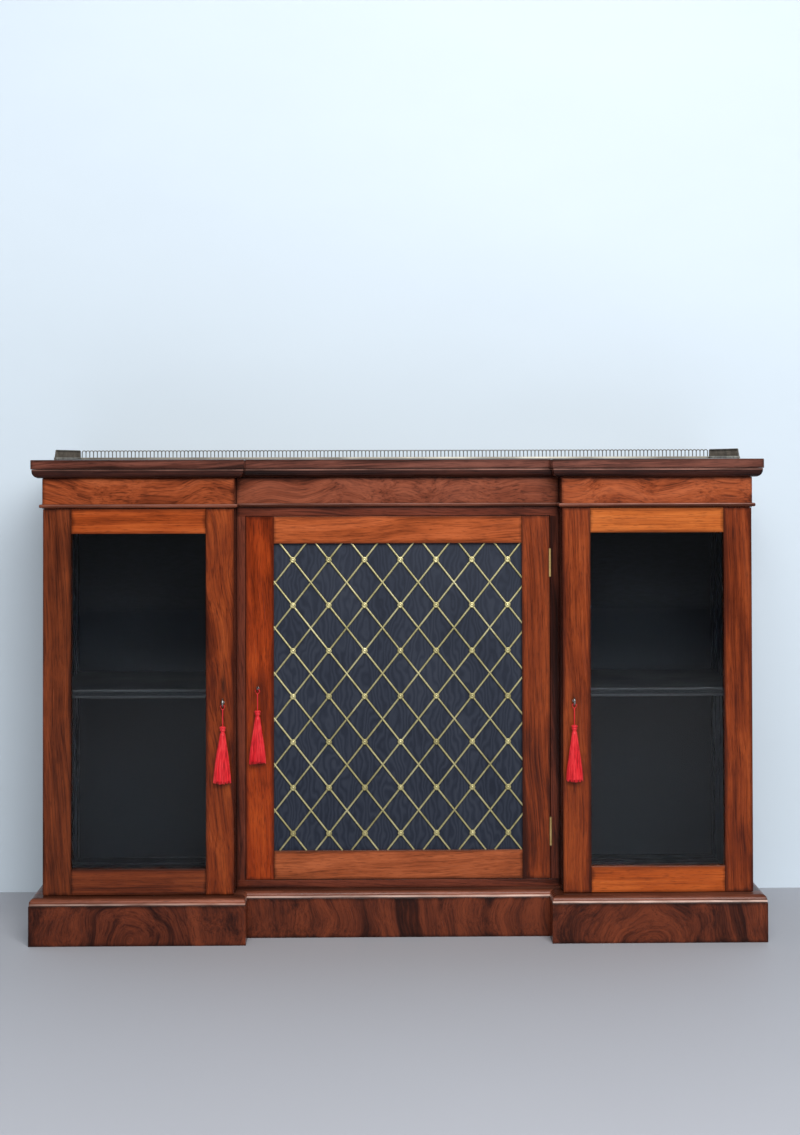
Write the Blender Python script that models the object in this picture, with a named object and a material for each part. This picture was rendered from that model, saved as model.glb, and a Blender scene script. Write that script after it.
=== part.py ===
"""Inverted breakfront bookcase cabinet: glazed wing doors, a brass trellis centre door and a brass gallery.

Metres, +Z up, the front faces -Y and the back stands against a wall. The origin is under the middle of the
cabinet on the floor. Every size is set in the block of driving dimensions below. What fits takes its size
from the same values and from FIT, the clearance between pieces that touch.
"""
import math

import bmesh
import bpy
from mathutils import Matrix, Vector

# Driving dimensions: the case
FIT = 0.0003
CASE_WIDTH = 1.497
CASE_DEPTH = 0.3865
WING_WIDTH = 0.4035
RECESS = 0.061
SIDE_THICK = 0.020
PARTITION_THICK = 0.014
BACK_THICK = 0.010

# Driving dimensions: heights from the floor up
PLINTH_HEIGHT = 0.0835
BASE_THICK = 0.0155
CARCASE_HEIGHT = 0.8750
CORNICE_THICK = 0.0185
TOP_THICK = 0.0195

# Driving dimensions: mouldings, measured out from the case front
PLINTH_OUT = 0.0245
PLINTH_THICK = 0.020
BASE_OUT = 0.0235
BASE_NOSING = 0.0115
CORNICE_OUT = 0.0195
OVOLO = 0.0140
TOP_OUT = 0.0212
TOP_ARRIS = 0.0012
FRIEZE_HEIGHT = 0.0637
FRIEZE_THICK = 0.0230
BEAD_OUT = 0.0060
BEAD_HEIGHT = 0.0075
BEAD_LIFT = 0.0015
BEAD_ROUND = 0.0024

# Driving dimensions: doors
DOOR_THICK = 0.022
DOOR_INSET = 0.0015
DOOR_GAP = 0.0012
WING_STILE = 0.0590
WING_TOP_RAIL = 0.0520
WING_BOTTOM_RAIL = 0.0540
CENTRE_STILE = 0.0595
CENTRE_TOP_RAIL = 0.0580
CENTRE_BOTTOM_RAIL = 0.0610
TENON_LENGTH = 0.034
TENON_THICK = 0.007
TENON_SHOULDER = 0.010
PANE_THICK = 0.003
PANE_LAP = 0.005
PANE_SETBACK = 0.007

# Driving dimensions: the face frame round the centre door
FRAME_SILL = 0.0165
FRAME_HEAD = 0.0180
FRAME_DEPTH = 0.042
FRAME_JAMB = 0.0184

# Driving dimensions: the brass trellis and the silk behind it
TRELLIS_END_LEFT = 0.0404
TRELLIS_END_RIGHT = 0.0304
TRELLIS_END_Z = 0.03535
TRELLIS_SHIFT = (TRELLIS_END_LEFT - TRELLIS_END_RIGHT) / 2
TRELLIS_COUNT = 7
TRELLIS_BAR = 0.0042
TRELLIS_THICK = 0.0025
ROSETTE_RADIUS = 0.0064
ROSETTE_CROWN = 0.0042
ROSETTE_HEIGHT = 0.0018
ROSETTE_SIDES = 8
SILK_THICK = 0.003

# Driving dimensions: shelves with a double reeded front edge
SHELF_LEVEL = 0.5260
SHELF_THICK = 0.019
SHELF_SETBACK = 0.0385
SHELF_HOUSING = 0.005
REED_RADIUS = 0.0028
REED_STEPS = 4

# Driving dimensions: the pierced brass gallery
GALLERY_HEIGHT = 0.0220
GALLERY_BASE = 0.0058
GALLERY_THICK = 0.0024
GALLERY_PITCH = 0.0087
GALLERY_SLOT = 0.0050
GALLERY_RIM = 0.0022
GALLERY_SIDE_SET = 0.0427
GALLERY_FRONT_SET = 0.0215
GALLERY_BACK_SET = 0.0160
GALLERY_END = 0.0120

# Driving dimensions: butt hinges
HINGE_LENGTH = 0.060
HINGE_LEAF_WIDTH = 0.0150
HINGE_LEAF_THICK = 0.0014
HINGE_BARREL = 0.0025
HINGE_PIN = 0.0010
HINGE_SIDES = 10
WING_HINGE_FROM_END = 0.110
CENTRE_HINGE_FROM_END = 0.100

# Driving dimensions: locks, bolts and keys
WING_KEY_LEVEL = 0.5040
CENTRE_KEY_LEVEL = 0.5260
WING_KEY_FROM_EDGE = 0.0225
CENTRE_KEY_FROM_EDGE = 0.0253
LOCK_LENGTH = 0.036
LOCK_HEIGHT = 0.042
LOCK_DEPTH = 0.0115
LOCK_FROM_WALL = 0.0012
CENTRE_LOCK_FROM_EDGE = 0.0025
CHAMBER_RADIUS = 0.0072
CHAMBER_DEPTH = 0.0095
BOLT_LENGTH = 0.030
BOLT_HEIGHT = 0.006
BOLT_THICK = 0.004
BOLT_RISE = 0.0125
BOLT_THROW = 0.008
KEY_SHANK = 0.0020
KEY_BIT_REACH = 0.0062
KEY_BIT_THICK = 0.0018
KEY_BIT_LENGTH = 0.0055
KEYHOLE_SLOT = 0.0026
BOW_WIRE = 0.0017
BOW_STAND_OFF = 0.0142
BOW_LENGTH = 0.0180
WING_BOW_HEIGHT = 0.0190
CENTRE_BOW_HEIGHT = 0.0130

# Driving dimensions: silk tassels
LOOP_WIRE = 0.0009
LOOP_RADIUS = 0.0048
TASSEL_CORD = 0.0011
TASSEL_CORD_LENGTH = 0.0349
TASSEL_HEAD = 0.0072
TASSEL_HEAD_HEIGHT = 0.0110
TASSEL_NECK = 0.0042
TASSEL_NECK_HEIGHT = 0.0040
TASSEL_SKIRT = 0.0190
WING_TASSEL_SKIRT_LENGTH = 0.1060
CENTRE_TASSEL_SKIRT_LENGTH = 0.1000
TASSEL_FLAT_RATIO = 0.58
TASSEL_SIDES = 12

# Planes and levels worked out from the driving dimensions
CASE_HALF = CASE_WIDTH / 2
RETURN_HALF = CASE_HALF - WING_WIDTH
FRONT = (PLINTH_OUT - CASE_DEPTH) / 2
BACK = FRONT + CASE_DEPTH
CENTRE_FRONT = FRONT + RECESS
WING_FACE = FRONT + DOOR_INSET
CENTRE_FACE = CENTRE_FRONT + DOOR_INSET
CASE_EDGE = WING_FACE + DOOR_THICK + FIT
INNER_BACK = BACK - BACK_THICK - FIT
BASE_TOP = PLINTH_HEIGHT + FIT + BASE_THICK
CARCASE_BOTTOM = BASE_TOP + FIT
CARCASE_TOP = CARCASE_BOTTOM + CARCASE_HEIGHT
CORNICE_BOTTOM = CARCASE_TOP + FIT
CORNICE_TOP = CORNICE_BOTTOM + CORNICE_THICK
TOP_BOTTOM = CORNICE_TOP + FIT
TOP_TOP = TOP_BOTTOM + TOP_THICK
FRIEZE_BOTTOM = CARCASE_TOP - FRIEZE_HEIGHT
WING_DOOR_BOTTOM = BASE_TOP + DOOR_GAP
WING_DOOR_TOP = FRIEZE_BOTTOM - DOOR_GAP
WING_DOOR_OUTER = CASE_HALF - DOOR_INSET
WING_DOOR_INNER = RETURN_HALF + DOOR_INSET
FRAME_OUTER = RETURN_HALF - FIT
FRAME_INNER = FRAME_OUTER - FRAME_JAMB
FRAME_BOTTOM = CARCASE_BOTTOM
FRAME_TOP = FRIEZE_BOTTOM - FIT
CENTRE_DOOR_EDGE = FRAME_INNER - DOOR_GAP
CENTRE_DOOR_BOTTOM = FRAME_BOTTOM + FRAME_SILL + DOOR_GAP
CENTRE_DOOR_TOP = FRAME_TOP - FRAME_HEAD - DOOR_GAP
WING_INNER_LOW = RETURN_HALF + PARTITION_THICK
WING_INNER_HIGH = CASE_HALF - SIDE_THICK
SHELF_BOTTOM = SHELF_LEVEL - SHELF_THICK
GALLERY_HALF_WIDTH = CASE_HALF + TOP_OUT - GALLERY_SIDE_SET

# Colours, roughness and metallic values read from the photograph
FINISHES = {
    "rosewood_dark": ((0.100, 0.028, 0.014, 1), 0.32, 0.0),
    "rosewood_door": ((0.205, 0.045, 0.015, 1), 0.30, 0.0),
    "rosewood_centre": ((0.300, 0.060, 0.016, 1), 0.30, 0.0),
    "ebonised": ((0.006, 0.008, 0.011, 1), 0.55, 0.0),
    "brass": ((0.620, 0.520, 0.250, 1), 0.32, 1.0),
    "gilt_brass": ((0.560, 0.500, 0.270, 1), 0.35, 1.0),
    "steel": ((0.320, 0.310, 0.290, 1), 0.30, 1.0),
    "glass": ((0.900, 0.930, 0.920, 1), 0.03, 0.0),
    "moire_silk": ((0.028, 0.038, 0.060, 1), 0.60, 0.0),
    "red_silk": ((0.640, 0.018, 0.030, 1), 0.55, 0.0),
}


def clear_scene():
    """Empty the scene that the script starts in."""
    for item in list(bpy.data.objects):
        bpy.data.objects.remove(item, do_unlink=True)


def make_collection(name):
    """Return a new collection linked to the scene."""
    collection = bpy.data.collections.new(name)
    bpy.context.scene.collection.children.link(collection)
    return collection


def make_finishes():
    """Make one Principled material for each finish."""
    for name, (colour, roughness, metallic) in FINISHES.items():
        material = bpy.data.materials.new(name)
        material.use_nodes = True
        shader = material.node_tree.nodes["Principled BSDF"]
        shader.inputs["Base Color"].default_value = colour
        shader.inputs["Roughness"].default_value = roughness
        shader.inputs["Metallic"].default_value = metallic
        material.diffuse_color = colour


def add(name, mesh, finish=None, place=(0, 0, 0), frame=None):
    """Link a mesh as a named part, or as a hidden helper when it has no finish."""
    item = bpy.data.objects.new(name, mesh)
    item.matrix_world = (frame or Matrix()) @ Matrix.Translation(place)
    if finish is None:
        HELPERS.objects.link(item)
        item.hide_render = True
        item.display_type = "WIRE"
    else:
        PARTS.objects.link(item)
        mesh.materials.append(bpy.data.materials[finish])
    return item


def mesh_from(name, shape):
    """Turn a bmesh into a mesh with its faces pointing out."""
    bmesh.ops.recalc_face_normals(shape, faces=shape.faces[:])
    mesh = bpy.data.meshes.new(name)
    shape.to_mesh(mesh)
    shape.free()
    return mesh


def box(name, x, y, z, finish=None, frame=None):
    """A block between two bounds on each axis, given in any order."""
    spans = [sorted(pair) for pair in (x, y, z)]
    middle = [(low + high) / 2 for low, high in spans]
    size = [high - low for low, high in spans]
    shape = bmesh.new()
    bmesh.ops.create_cube(shape, size=1.0)
    bmesh.ops.scale(shape, vec=size, verts=shape.verts[:])
    return add(name, mesh_from(name, shape), finish, middle, frame)


def rod(name, radius, start, end, sides, finish=None, frame=None):
    """A round bar from one point to another."""
    start = Vector(start)
    run = Vector(end) - start
    shape = bmesh.new()
    bmesh.ops.create_cone(
        shape, cap_ends=True, segments=sides, radius1=radius, radius2=radius, depth=run.length,
        matrix=run.to_track_quat("Z", "Y").to_matrix().to_4x4())
    return add(name, mesh_from(name, shape), finish, start + run / 2, frame)


def prism(name, outline, low, high, finish=None, axes="XYZ", place=(0, 0, 0)):
    """Push an outline from low to high; the first two axes carry it and the third is the push."""
    shape = bmesh.new()
    order = ["XYZ".index(letter) for letter in axes]
    corners = []
    for across, along in outline:
        point = [0.0, 0.0, 0.0]
        point[order[0]] = across
        point[order[1]] = along
        point[order[2]] = low
        corners.append(shape.verts.new(point))
    face = shape.faces.new(corners)
    pushed = bmesh.ops.extrude_face_region(shape, geom=[face])
    travel = [0.0, 0.0, 0.0]
    travel[order[2]] = high - low
    moved = [part for part in pushed["geom"] if isinstance(part, bmesh.types.BMVert)]
    bmesh.ops.translate(shape, vec=travel, verts=moved)
    return add(name, mesh_from(name, shape), finish, place)


def round_edges(item, chosen, width, steps):
    """Round the edges of a part that pass the test on their middle point and direction."""
    shape = bmesh.new()
    shape.from_mesh(item.data)
    edges = []
    for edge in shape.edges:
        first, second = edge.verts
        if chosen((first.co + second.co) / 2, second.co - first.co):
            edges.append(edge)
    bmesh.ops.bevel(shape, geom=edges, offset=width, segments=steps, profile=0.5, affect="EDGES", clamp_overlap=True)
    shape.to_mesh(item.data)
    shape.free()


def pierced_plate(name, outline, holes, thick, finish, frame):
    """A flat plate with holes, filled from a 2D curve and centred on its own plane."""
    curve = bpy.data.curves.new(name, "CURVE")
    curve.dimensions = "2D"
    curve.fill_mode = "BOTH"
    curve.extrude = thick / 2
    for loop in [outline] + holes:
        spline = curve.splines.new("POLY")
        spline.points.add(len(loop) - 1)
        for point, (across, along) in zip(spline.points, loop):
            point.co = (across, along, 0, 1)
        spline.use_cyclic_u = True
    drawn = bpy.data.objects.new(name, curve)
    bpy.context.scene.collection.objects.link(drawn)
    bpy.context.view_layer.update()
    mesh = bpy.data.meshes.new_from_object(drawn)
    bpy.data.objects.remove(drawn, do_unlink=True)
    shape = bmesh.new()
    shape.from_mesh(mesh)
    bmesh.ops.remove_doubles(shape, verts=shape.verts[:], dist=1e-6)
    return add(name, mesh_from(name, shape), finish, frame=frame)


def boolean(item, operation, helpers):
    """Hang Boolean modifiers on a part, one for each helper."""
    for helper in helpers:
        modifier = item.modifiers.new(f"{operation.lower()}_{helper.name}"[:60], "BOOLEAN")
        modifier.operation = operation
        modifier.solver = "MANIFOLD"
        modifier.object = helper


def cut(item, *helpers):
    """Take helpers out of a part."""
    boolean(item, "DIFFERENCE", helpers)


def fuse(item, *helpers):
    """Join helpers onto a part."""
    boolean(item, "UNION", helpers)


def pivot(name, place, parent=None):
    """An empty on a joint's axis that carries a moving body."""
    empty = bpy.data.objects.new(name, None)
    PARTS.objects.link(empty)
    empty.matrix_world = Matrix.Translation(place)
    if parent:
        carry(parent, [empty])
    return empty


def carry(empty, items):
    """Parent items to an empty and leave them where they are."""
    bpy.context.view_layer.update()
    for item in items:
        item.parent = empty
        item.matrix_parent_inverse = empty.matrix_world.inverted()


def breakfront(out, back):
    """Plan of the cabinet with projecting wings, grown by out on every side but the back."""
    outer = CASE_HALF + out
    inner = RETURN_HALF - out
    wing = FRONT - out
    centre = CENTRE_FRONT - out
    return [
        (-outer, back), (-outer, wing), (-inner, wing), (-inner, centre),
        (inner, centre), (inner, wing), (outer, wing), (outer, back)]


def front_edge(level):
    """Test for the plan edges at one level, leaving out the edge along the back."""
    def chosen(middle, run):
        flat = abs(run.z) < 1e-6 and abs(middle.z - level) < 1e-6
        return flat and middle.y < BACK - 1e-6
    return chosen


def make_mouldings():
    """Top board, ovolo cornice board, bead and the moulded base board."""
    top = prism("top_board", breakfront(TOP_OUT, BACK), TOP_BOTTOM, TOP_TOP, "rosewood_dark")
    round_edges(top, front_edge(TOP_TOP), TOP_ARRIS, 2)
    cornice = prism("cornice_board", breakfront(CORNICE_OUT, BACK), CORNICE_BOTTOM, CORNICE_TOP, "rosewood_dark")
    round_edges(cornice, front_edge(CORNICE_BOTTOM), OVOLO, 5)
    base = prism("base_board", breakfront(BASE_OUT, BACK), BASE_TOP - BASE_THICK, BASE_TOP, "rosewood_dark")
    round_edges(base, front_edge(BASE_TOP), BASE_NOSING, 6)
    ring = breakfront(BEAD_OUT, BACK) + breakfront(FIT, BACK)[::-1]
    low = FRIEZE_BOTTOM + BEAD_LIFT
    high = low + BEAD_HEIGHT
    bead = prism("bead_moulding", ring, low, high, "rosewood_dark")
    outer_path = breakfront(BEAD_OUT, BACK)

    def on_nose(middle, run):
        level = abs(run.z) < 1e-6
        for first, second in zip(outer_path, outer_path[1:]):
            at = (Vector(first) + Vector(second)) / 2
            if level and (Vector((middle.x, middle.y)) - at).length < 1e-5:
                return True
        return False

    round_edges(bead, on_nose, BEAD_ROUND, 2)


def make_case():
    """Plinth, sides, partitions, frieze, back and the frame round the centre door."""
    inner_plan = breakfront(PLINTH_OUT - PLINTH_THICK, BACK - BACK_THICK - FIT)
    plinth_run = breakfront(PLINTH_OUT, BACK - BACK_THICK - FIT) + inner_plan[::-1]
    prism("plinth", plinth_run, 0, PLINTH_HEIGHT, "rosewood_dark")
    box("backboard", (-CASE_HALF, CASE_HALF), (BACK - BACK_THICK, BACK), (CARCASE_BOTTOM, CARCASE_TOP), "ebonised")
    uprights = {}
    for name, sign in (("left", -1), ("right", 1)):
        y = (CASE_EDGE, INNER_BACK)
        z = (CARCASE_BOTTOM, CARCASE_TOP)
        uprights[f"side_{name}"] = box(f"side_{name}", (sign * CASE_HALF, sign * WING_INNER_HIGH), y, z, "rosewood_dark")
        uprights[f"partition_{name}"] = box(
            f"partition_{name}", (sign * RETURN_HALF, sign * WING_INNER_LOW), y, z, "rosewood_dark")
        box(f"frieze_{name}", (sign * CASE_HALF, sign * RETURN_HALF), (FRONT, FRONT + FRIEZE_THICK),
            (FRIEZE_BOTTOM, CARCASE_TOP), "rosewood_door")
    box("frieze_centre", (-FRAME_OUTER, FRAME_OUTER), (CENTRE_FRONT, CENTRE_FRONT + FRIEZE_THICK),
        (FRIEZE_BOTTOM, CARCASE_TOP), "rosewood_door")
    frame = box("centre_face_frame", (-FRAME_OUTER, FRAME_OUTER), (CENTRE_FACE, CENTRE_FACE + FRAME_DEPTH),
                (FRAME_BOTTOM, FRAME_TOP), "rosewood_dark")
    doorway = box("cut_doorway", (-FRAME_INNER, FRAME_INNER), (CENTRE_FACE - FIT, CENTRE_FACE + FRAME_DEPTH + FIT),
                  (FRAME_BOTTOM + FRAME_SILL, FRAME_TOP - FRAME_HEAD))
    cut(frame, doorway)
    uprights["frame"] = frame
    return uprights


def reeded_edge(front, back, low, high):
    """Side outline of a shelf whose front edge has a reed along its top and its bottom."""
    outline = [(back, low), (back, high)]
    for middle in (high - REED_RADIUS, low + REED_RADIUS):
        for step in range(REED_STEPS + 1):
            turn = math.pi / 2 - math.pi * step / REED_STEPS
            outline.append((front + REED_RADIUS - REED_RADIUS * math.cos(turn), middle + REED_RADIUS * math.sin(turn)))
    return outline


def make_shelves(uprights):
    """Three shelves, each let into housings in the boards beside it."""
    bays = {
        "left": (-WING_INNER_HIGH, -WING_INNER_LOW, WING_FACE, ("side_left", "partition_left")),
        "right": (WING_INNER_LOW, WING_INNER_HIGH, WING_FACE, ("side_right", "partition_right")),
        "centre": (-RETURN_HALF, RETURN_HALF, CENTRE_FACE, ("partition_left", "partition_right")),
    }
    for name, (first, last, face, carriers) in bays.items():
        front = face + SHELF_SETBACK + (FRAME_DEPTH - SHELF_SETBACK + FIT if name == "centre" else 0)
        reach = SHELF_HOUSING - FIT
        outline = reeded_edge(front, INNER_BACK, SHELF_BOTTOM, SHELF_LEVEL)
        prism(f"shelf_{name}", outline, first - reach, last + reach, "ebonised", axes="YZX")
        housing = box(f"cut_housing_{name}", (first - SHELF_HOUSING, last + SHELF_HOUSING), (front - FIT, BACK),
                      (SHELF_BOTTOM - FIT, SHELF_LEVEL + FIT))
        for carrier in carriers:
            cut(uprights[carrier], housing)


def make_hinge(name, frame, hosts):
    """A butt hinge: a fixed leaf with two knuckles and the pin, and a door leaf with the middle knuckle.

    In the hinge's own frame the pin is Z, the leaves run along +X and the fixed leaf lies on the +Y side.
    """
    third = HINGE_LENGTH / 6
    start = HINGE_BARREL + FIT
    leaves = {}
    for part, side, knuckles in (("fixed", 1, ((-3, -1), (1, 3))), ("door", -1, ((-1, 1),))):
        depth = (side * FIT / 2, side * (FIT / 2 + HINGE_LEAF_THICK))
        full = (-HINGE_LENGTH / 2, HINGE_LENGTH / 2)
        leaf = box(f"{name}_{part}_leaf", (start, HINGE_LEAF_WIDTH), depth, full, "brass", frame)
        for index, (low, high) in enumerate(knuckles):
            trim = FIT / 2 if part == "door" else 0
            ends = (low * third + trim, high * third - trim)
            web = box(f"{name}_{part}_web_{index}", (0, start + HINGE_LEAF_THICK), depth, ends, frame=frame)
            barrel = rod(f"{name}_{part}_barrel_{index}", HINGE_BARREL, (0, 0, ends[0]), (0, 0, ends[1]), HINGE_SIDES,
                         frame=frame)
            fuse(leaf, web, barrel)
        leaves[part] = leaf
    inside = HINGE_LENGTH / 2 - HINGE_LEAF_THICK
    pin = rod(f"{name}_pin", HINGE_PIN, (0, 0, -inside), (0, 0, inside), HINGE_SIDES, frame=frame)
    bore = rod(f"{name}_bore", HINGE_PIN + FIT, (0, 0, -inside), (0, 0, inside), HINGE_SIDES, frame=frame)
    fuse(leaves["fixed"], pin)
    cut(leaves["door"], bore)
    grown = HINGE_LENGTH / 2 + FIT
    bed = FIT / 2 + HINGE_LEAF_THICK + FIT
    seat = box(f"{name}_seat", (0, HINGE_LEAF_WIDTH + FIT), (-bed, bed), (-grown, grown), frame=frame)
    well = rod(f"{name}_well", HINGE_BARREL + FIT, (0, 0, -grown), (0, 0, grown), HINGE_SIDES, frame=frame)
    for host in hosts:
        cut(host, seat, well)
    return leaves["door"]


def make_door_frame(name, hinge_x, lock_x, face, low, high, stile, top_rail, bottom_rail, finish):
    """Two stiles and two tenoned rails, grooved all round for what fills the door."""
    way = 1 if lock_x > hinge_x else -1
    y = (face, face + DOOR_THICK)
    middle = face + DOOR_THICK / 2
    opening_x = (hinge_x + way * stile, lock_x - way * stile)
    opening_z = (low + bottom_rail, high - top_rail)
    stiles = {
        "hinge": box(f"{name}_hinge_stile", (hinge_x, opening_x[0]), y, (low, high), finish),
        "lock": box(f"{name}_lock_stile", (opening_x[1], lock_x), y, (low, high), finish),
    }
    members = list(stiles.values())
    for rail, ends in (("top", (opening_z[1], high)), ("bottom", (low, opening_z[0]))):
        shoulders = (opening_x[0] + way * FIT, opening_x[1] - way * FIT)
        body = box(f"{name}_{rail}_rail", shoulders, y, ends, finish)
        tips = (opening_x[0] - way * TENON_LENGTH, opening_x[1] + way * TENON_LENGTH)
        cheek = TENON_THICK / 2
        heights = (ends[0] + TENON_SHOULDER, ends[1] - TENON_SHOULDER)
        tenon = box(f"{name}_{rail}_tenon", tips, (middle - cheek, middle + cheek), heights)
        mortise = box(f"{name}_{rail}_mortise", (tips[0] - way * FIT, tips[1] + way * FIT),
                      (middle - cheek - FIT, middle + cheek + FIT), (heights[0] - FIT, heights[1] + FIT))
        fuse(body, tenon)
        for upright in stiles.values():
            cut(upright, mortise)
        members.append(body)
    return {"way": way, "x": opening_x, "z": opening_z, "stiles": stiles, "members": members}


def groove_door(name, door, front, back):
    """Cut the groove that holds a pane or panel between two depths."""
    lap = PANE_LAP + FIT
    way = door["way"]
    groove = box(f"{name}_groove", (door["x"][0] - way * lap, door["x"][1] + way * lap), (front - FIT, back + FIT),
                 (door["z"][0] - lap, door["z"][1] + lap))
    for member in door["members"]:
        cut(member, groove)


def lapped(door, lap):
    """The opening of a door grown by a lap, as spans in X and Z."""
    x = sorted(door["x"])
    z = sorted(door["z"])
    return (x[0] - lap, x[1] + lap), (z[0] - lap, z[1] + lap)


def make_lock(name, key_x, level, door_back, end_x, throw, stile, wall):
    """A lock case behind the stile, its sliding bolt, and the mortise that the bolt is thrown into."""
    depth = (door_back + FIT, door_back + FIT + LOCK_DEPTH)
    case = box(f"{name}_lock_case", (end_x, end_x - throw * LOCK_LENGTH), depth,
               (level - LOCK_HEIGHT / 2, level + LOCK_HEIGHT / 2), "brass")
    chamber = rod(f"{name}_chamber", CHAMBER_RADIUS, (key_x, depth[0] - FIT, level),
                  (key_x, depth[0] + CHAMBER_DEPTH, level), 16)
    bolt_y = (depth[0] + LOCK_DEPTH / 2 - BOLT_THICK / 2, depth[0] + LOCK_DEPTH / 2 + BOLT_THICK / 2)
    bolt_z = (level + BOLT_RISE - BOLT_HEIGHT / 2, level + BOLT_RISE + BOLT_HEIGHT / 2)
    bolt = box(f"{name}_bolt", (end_x, end_x - throw * BOLT_LENGTH), bolt_y, bolt_z, "steel")
    channel = box(f"{name}_channel", (end_x + throw * BOLT_LENGTH, end_x - throw * (BOLT_LENGTH + FIT)),
                  (bolt_y[0] - FIT, bolt_y[1] + FIT), (bolt_z[0] - FIT, bolt_z[1] + FIT))
    cut(case, chamber, channel)
    strike = box(f"{name}_strike", (end_x - throw * BOLT_THROW, end_x + throw * (BOLT_THROW + FIT)),
                 (bolt_y[0] - FIT, bolt_y[1] + FIT), (bolt_z[0] - FIT, bolt_z[1] + FIT))
    cut(wall, strike)
    hole = rod(f"{name}_keyhole", KEY_SHANK + FIT, (key_x, door_back - 2 * DOOR_THICK, level),
               (key_x, door_back + FIT, level), 12)
    slot = box(f"{name}_keyslot", (key_x - KEYHOLE_SLOT / 2, key_x + KEYHOLE_SLOT / 2),
               (door_back - 2 * DOOR_THICK, door_back + FIT), (level - KEY_BIT_REACH - FIT, level))
    cut(stile, hole, slot)
    return case, bolt


def make_key(name, key_x, level, face, bow_height):
    """A key in its lock: ring bow seen edge on, round shank and a flat bit in the lock's chamber."""
    bow_y = face - BOW_STAND_OFF
    frame = Matrix.Translation((key_x, face, level))
    shape = bmesh.new()
    shank_end = DOOR_THICK + FIT + CHAMBER_DEPTH - 2 * FIT
    shank_start = -BOW_STAND_OFF + BOW_LENGTH / 2 - BOW_WIRE
    spin = Matrix.Rotation(-math.pi / 2, 4, "X")
    bmesh.ops.create_cone(
        shape, cap_ends=True, segments=12, radius1=KEY_SHANK, radius2=KEY_SHANK, depth=shank_end - shank_start,
        matrix=Matrix.Translation((0, (shank_start + shank_end) / 2, 0)) @ spin)
    key = add(f"{name}_key", mesh_from(f"{name}_key", shape), "steel", frame=frame)
    bpy.ops.mesh.primitive_torus_add(
        major_segments=16, minor_segments=6, major_radius=BOW_LENGTH / 2 - BOW_WIRE, minor_radius=BOW_WIRE)
    ring = bpy.context.object
    mesh = ring.data
    bpy.data.objects.remove(ring, do_unlink=True)
    tall = (bow_height / 2 - BOW_WIRE) / (BOW_LENGTH / 2 - BOW_WIRE)
    mesh.transform(Matrix.Rotation(math.pi / 2, 4, "Y"))
    for vertex in mesh.vertices:
        across = math.hypot(vertex.co.y, vertex.co.z)
        rise = vertex.co.z / across * (BOW_LENGTH / 2 - BOW_WIRE)
        vertex.co.z += rise * (tall - 1)
    bow = add(f"{name}_key_bow", mesh, place=(key_x, bow_y, level))
    bit_end = shank_end - FIT
    bit = box(f"{name}_key_bit", (-KEY_BIT_THICK / 2, KEY_BIT_THICK / 2), (bit_end - KEY_BIT_LENGTH, bit_end),
              (-KEY_BIT_REACH, 0), frame=frame)
    fuse(key, bow, bit)
    return key


def make_tassel(name, hang_x, hang_y, hang_z, skirt_length):
    """A silk tassel: a loop round the bow's wire, a twisted cord, a bound head, a neck and a full skirt."""
    slack = LOOP_RADIUS - LOOP_WIRE - BOW_WIRE - FIT
    loop_bottom = -slack - LOOP_RADIUS
    head = loop_bottom - TASSEL_CORD_LENGTH
    neck = head - TASSEL_HEAD_HEIGHT
    skirt = neck - TASSEL_NECK_HEIGHT
    hem = skirt - skirt_length
    profile = [
        (TASSEL_CORD, loop_bottom), (TASSEL_CORD, head), (TASSEL_HEAD * 0.80, head - TASSEL_HEAD_HEIGHT * 0.06),
        (TASSEL_HEAD, head - TASSEL_HEAD_HEIGHT * 0.30), (TASSEL_HEAD * 0.82, head - TASSEL_HEAD_HEIGHT * 0.75),
        (TASSEL_NECK, neck), (TASSEL_NECK, skirt)]
    for step in range(1, 7):
        down = step / 6
        swell = math.sin(down * math.pi / 2)
        profile.append((TASSEL_NECK + (TASSEL_SKIRT - TASSEL_NECK) * (0.45 * swell + 0.55 * down), skirt - skirt_length * down))
    shape = bmesh.new()
    corners = [shape.verts.new((0, 0, loop_bottom))]
    corners += [shape.verts.new((radius, 0, level)) for radius, level in profile]
    corners.append(shape.verts.new((0, 0, hem)))
    edges = [shape.edges.new(pair) for pair in zip(corners, corners[1:])]
    bmesh.ops.spin(shape, geom=corners + edges, cent=(0, 0, 0), axis=(0, 0, 1), angle=2 * math.pi,
                   steps=TASSEL_SIDES, use_merge=True, use_duplicate=False)
    bmesh.ops.remove_doubles(shape, verts=shape.verts[:], dist=1e-6)
    bmesh.ops.scale(shape, vec=(1, TASSEL_FLAT_RATIO, 1), verts=shape.verts[:])
    tassel = add(f"{name}_tassel", mesh_from(f"{name}_tassel", shape), "red_silk", (hang_x, hang_y, hang_z))
    bpy.ops.mesh.primitive_torus_add(
        major_segments=12, minor_segments=5, major_radius=LOOP_RADIUS, minor_radius=LOOP_WIRE)
    ring = bpy.context.object
    mesh = ring.data
    bpy.data.objects.remove(ring, do_unlink=True)
    mesh.transform(Matrix.Rotation(math.pi / 2, 4, "X"))
    loop = add(f"{name}_tassel_loop", mesh, place=(hang_x, hang_y, hang_z - slack))
    fuse(tassel, loop)
    return tassel


def make_key_set(name, door_pivot, key_x, level, face, bow_height, skirt_length):
    """The key and the tassel that hangs in its bow, each on its own pivot on the door.

    A tassel keeps upright and is lifted along a straight line while its key turns. Its loop is wide enough for
    the bow's wire to pass round the quarter circle beside that line.
    """
    key = make_key(name, key_x, level, face, bow_height)
    key_pivot = pivot(f"{name}_key_pivot", (key_x, face, level), door_pivot)
    carry(key_pivot, [key])
    hang = (key_x, face - BOW_STAND_OFF, level - bow_height / 2 + BOW_WIRE)
    tassel_pivot = pivot(f"{name}_tassel_pivot", hang, door_pivot)
    carry(tassel_pivot, [make_tassel(name, *hang, skirt_length)])


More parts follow.
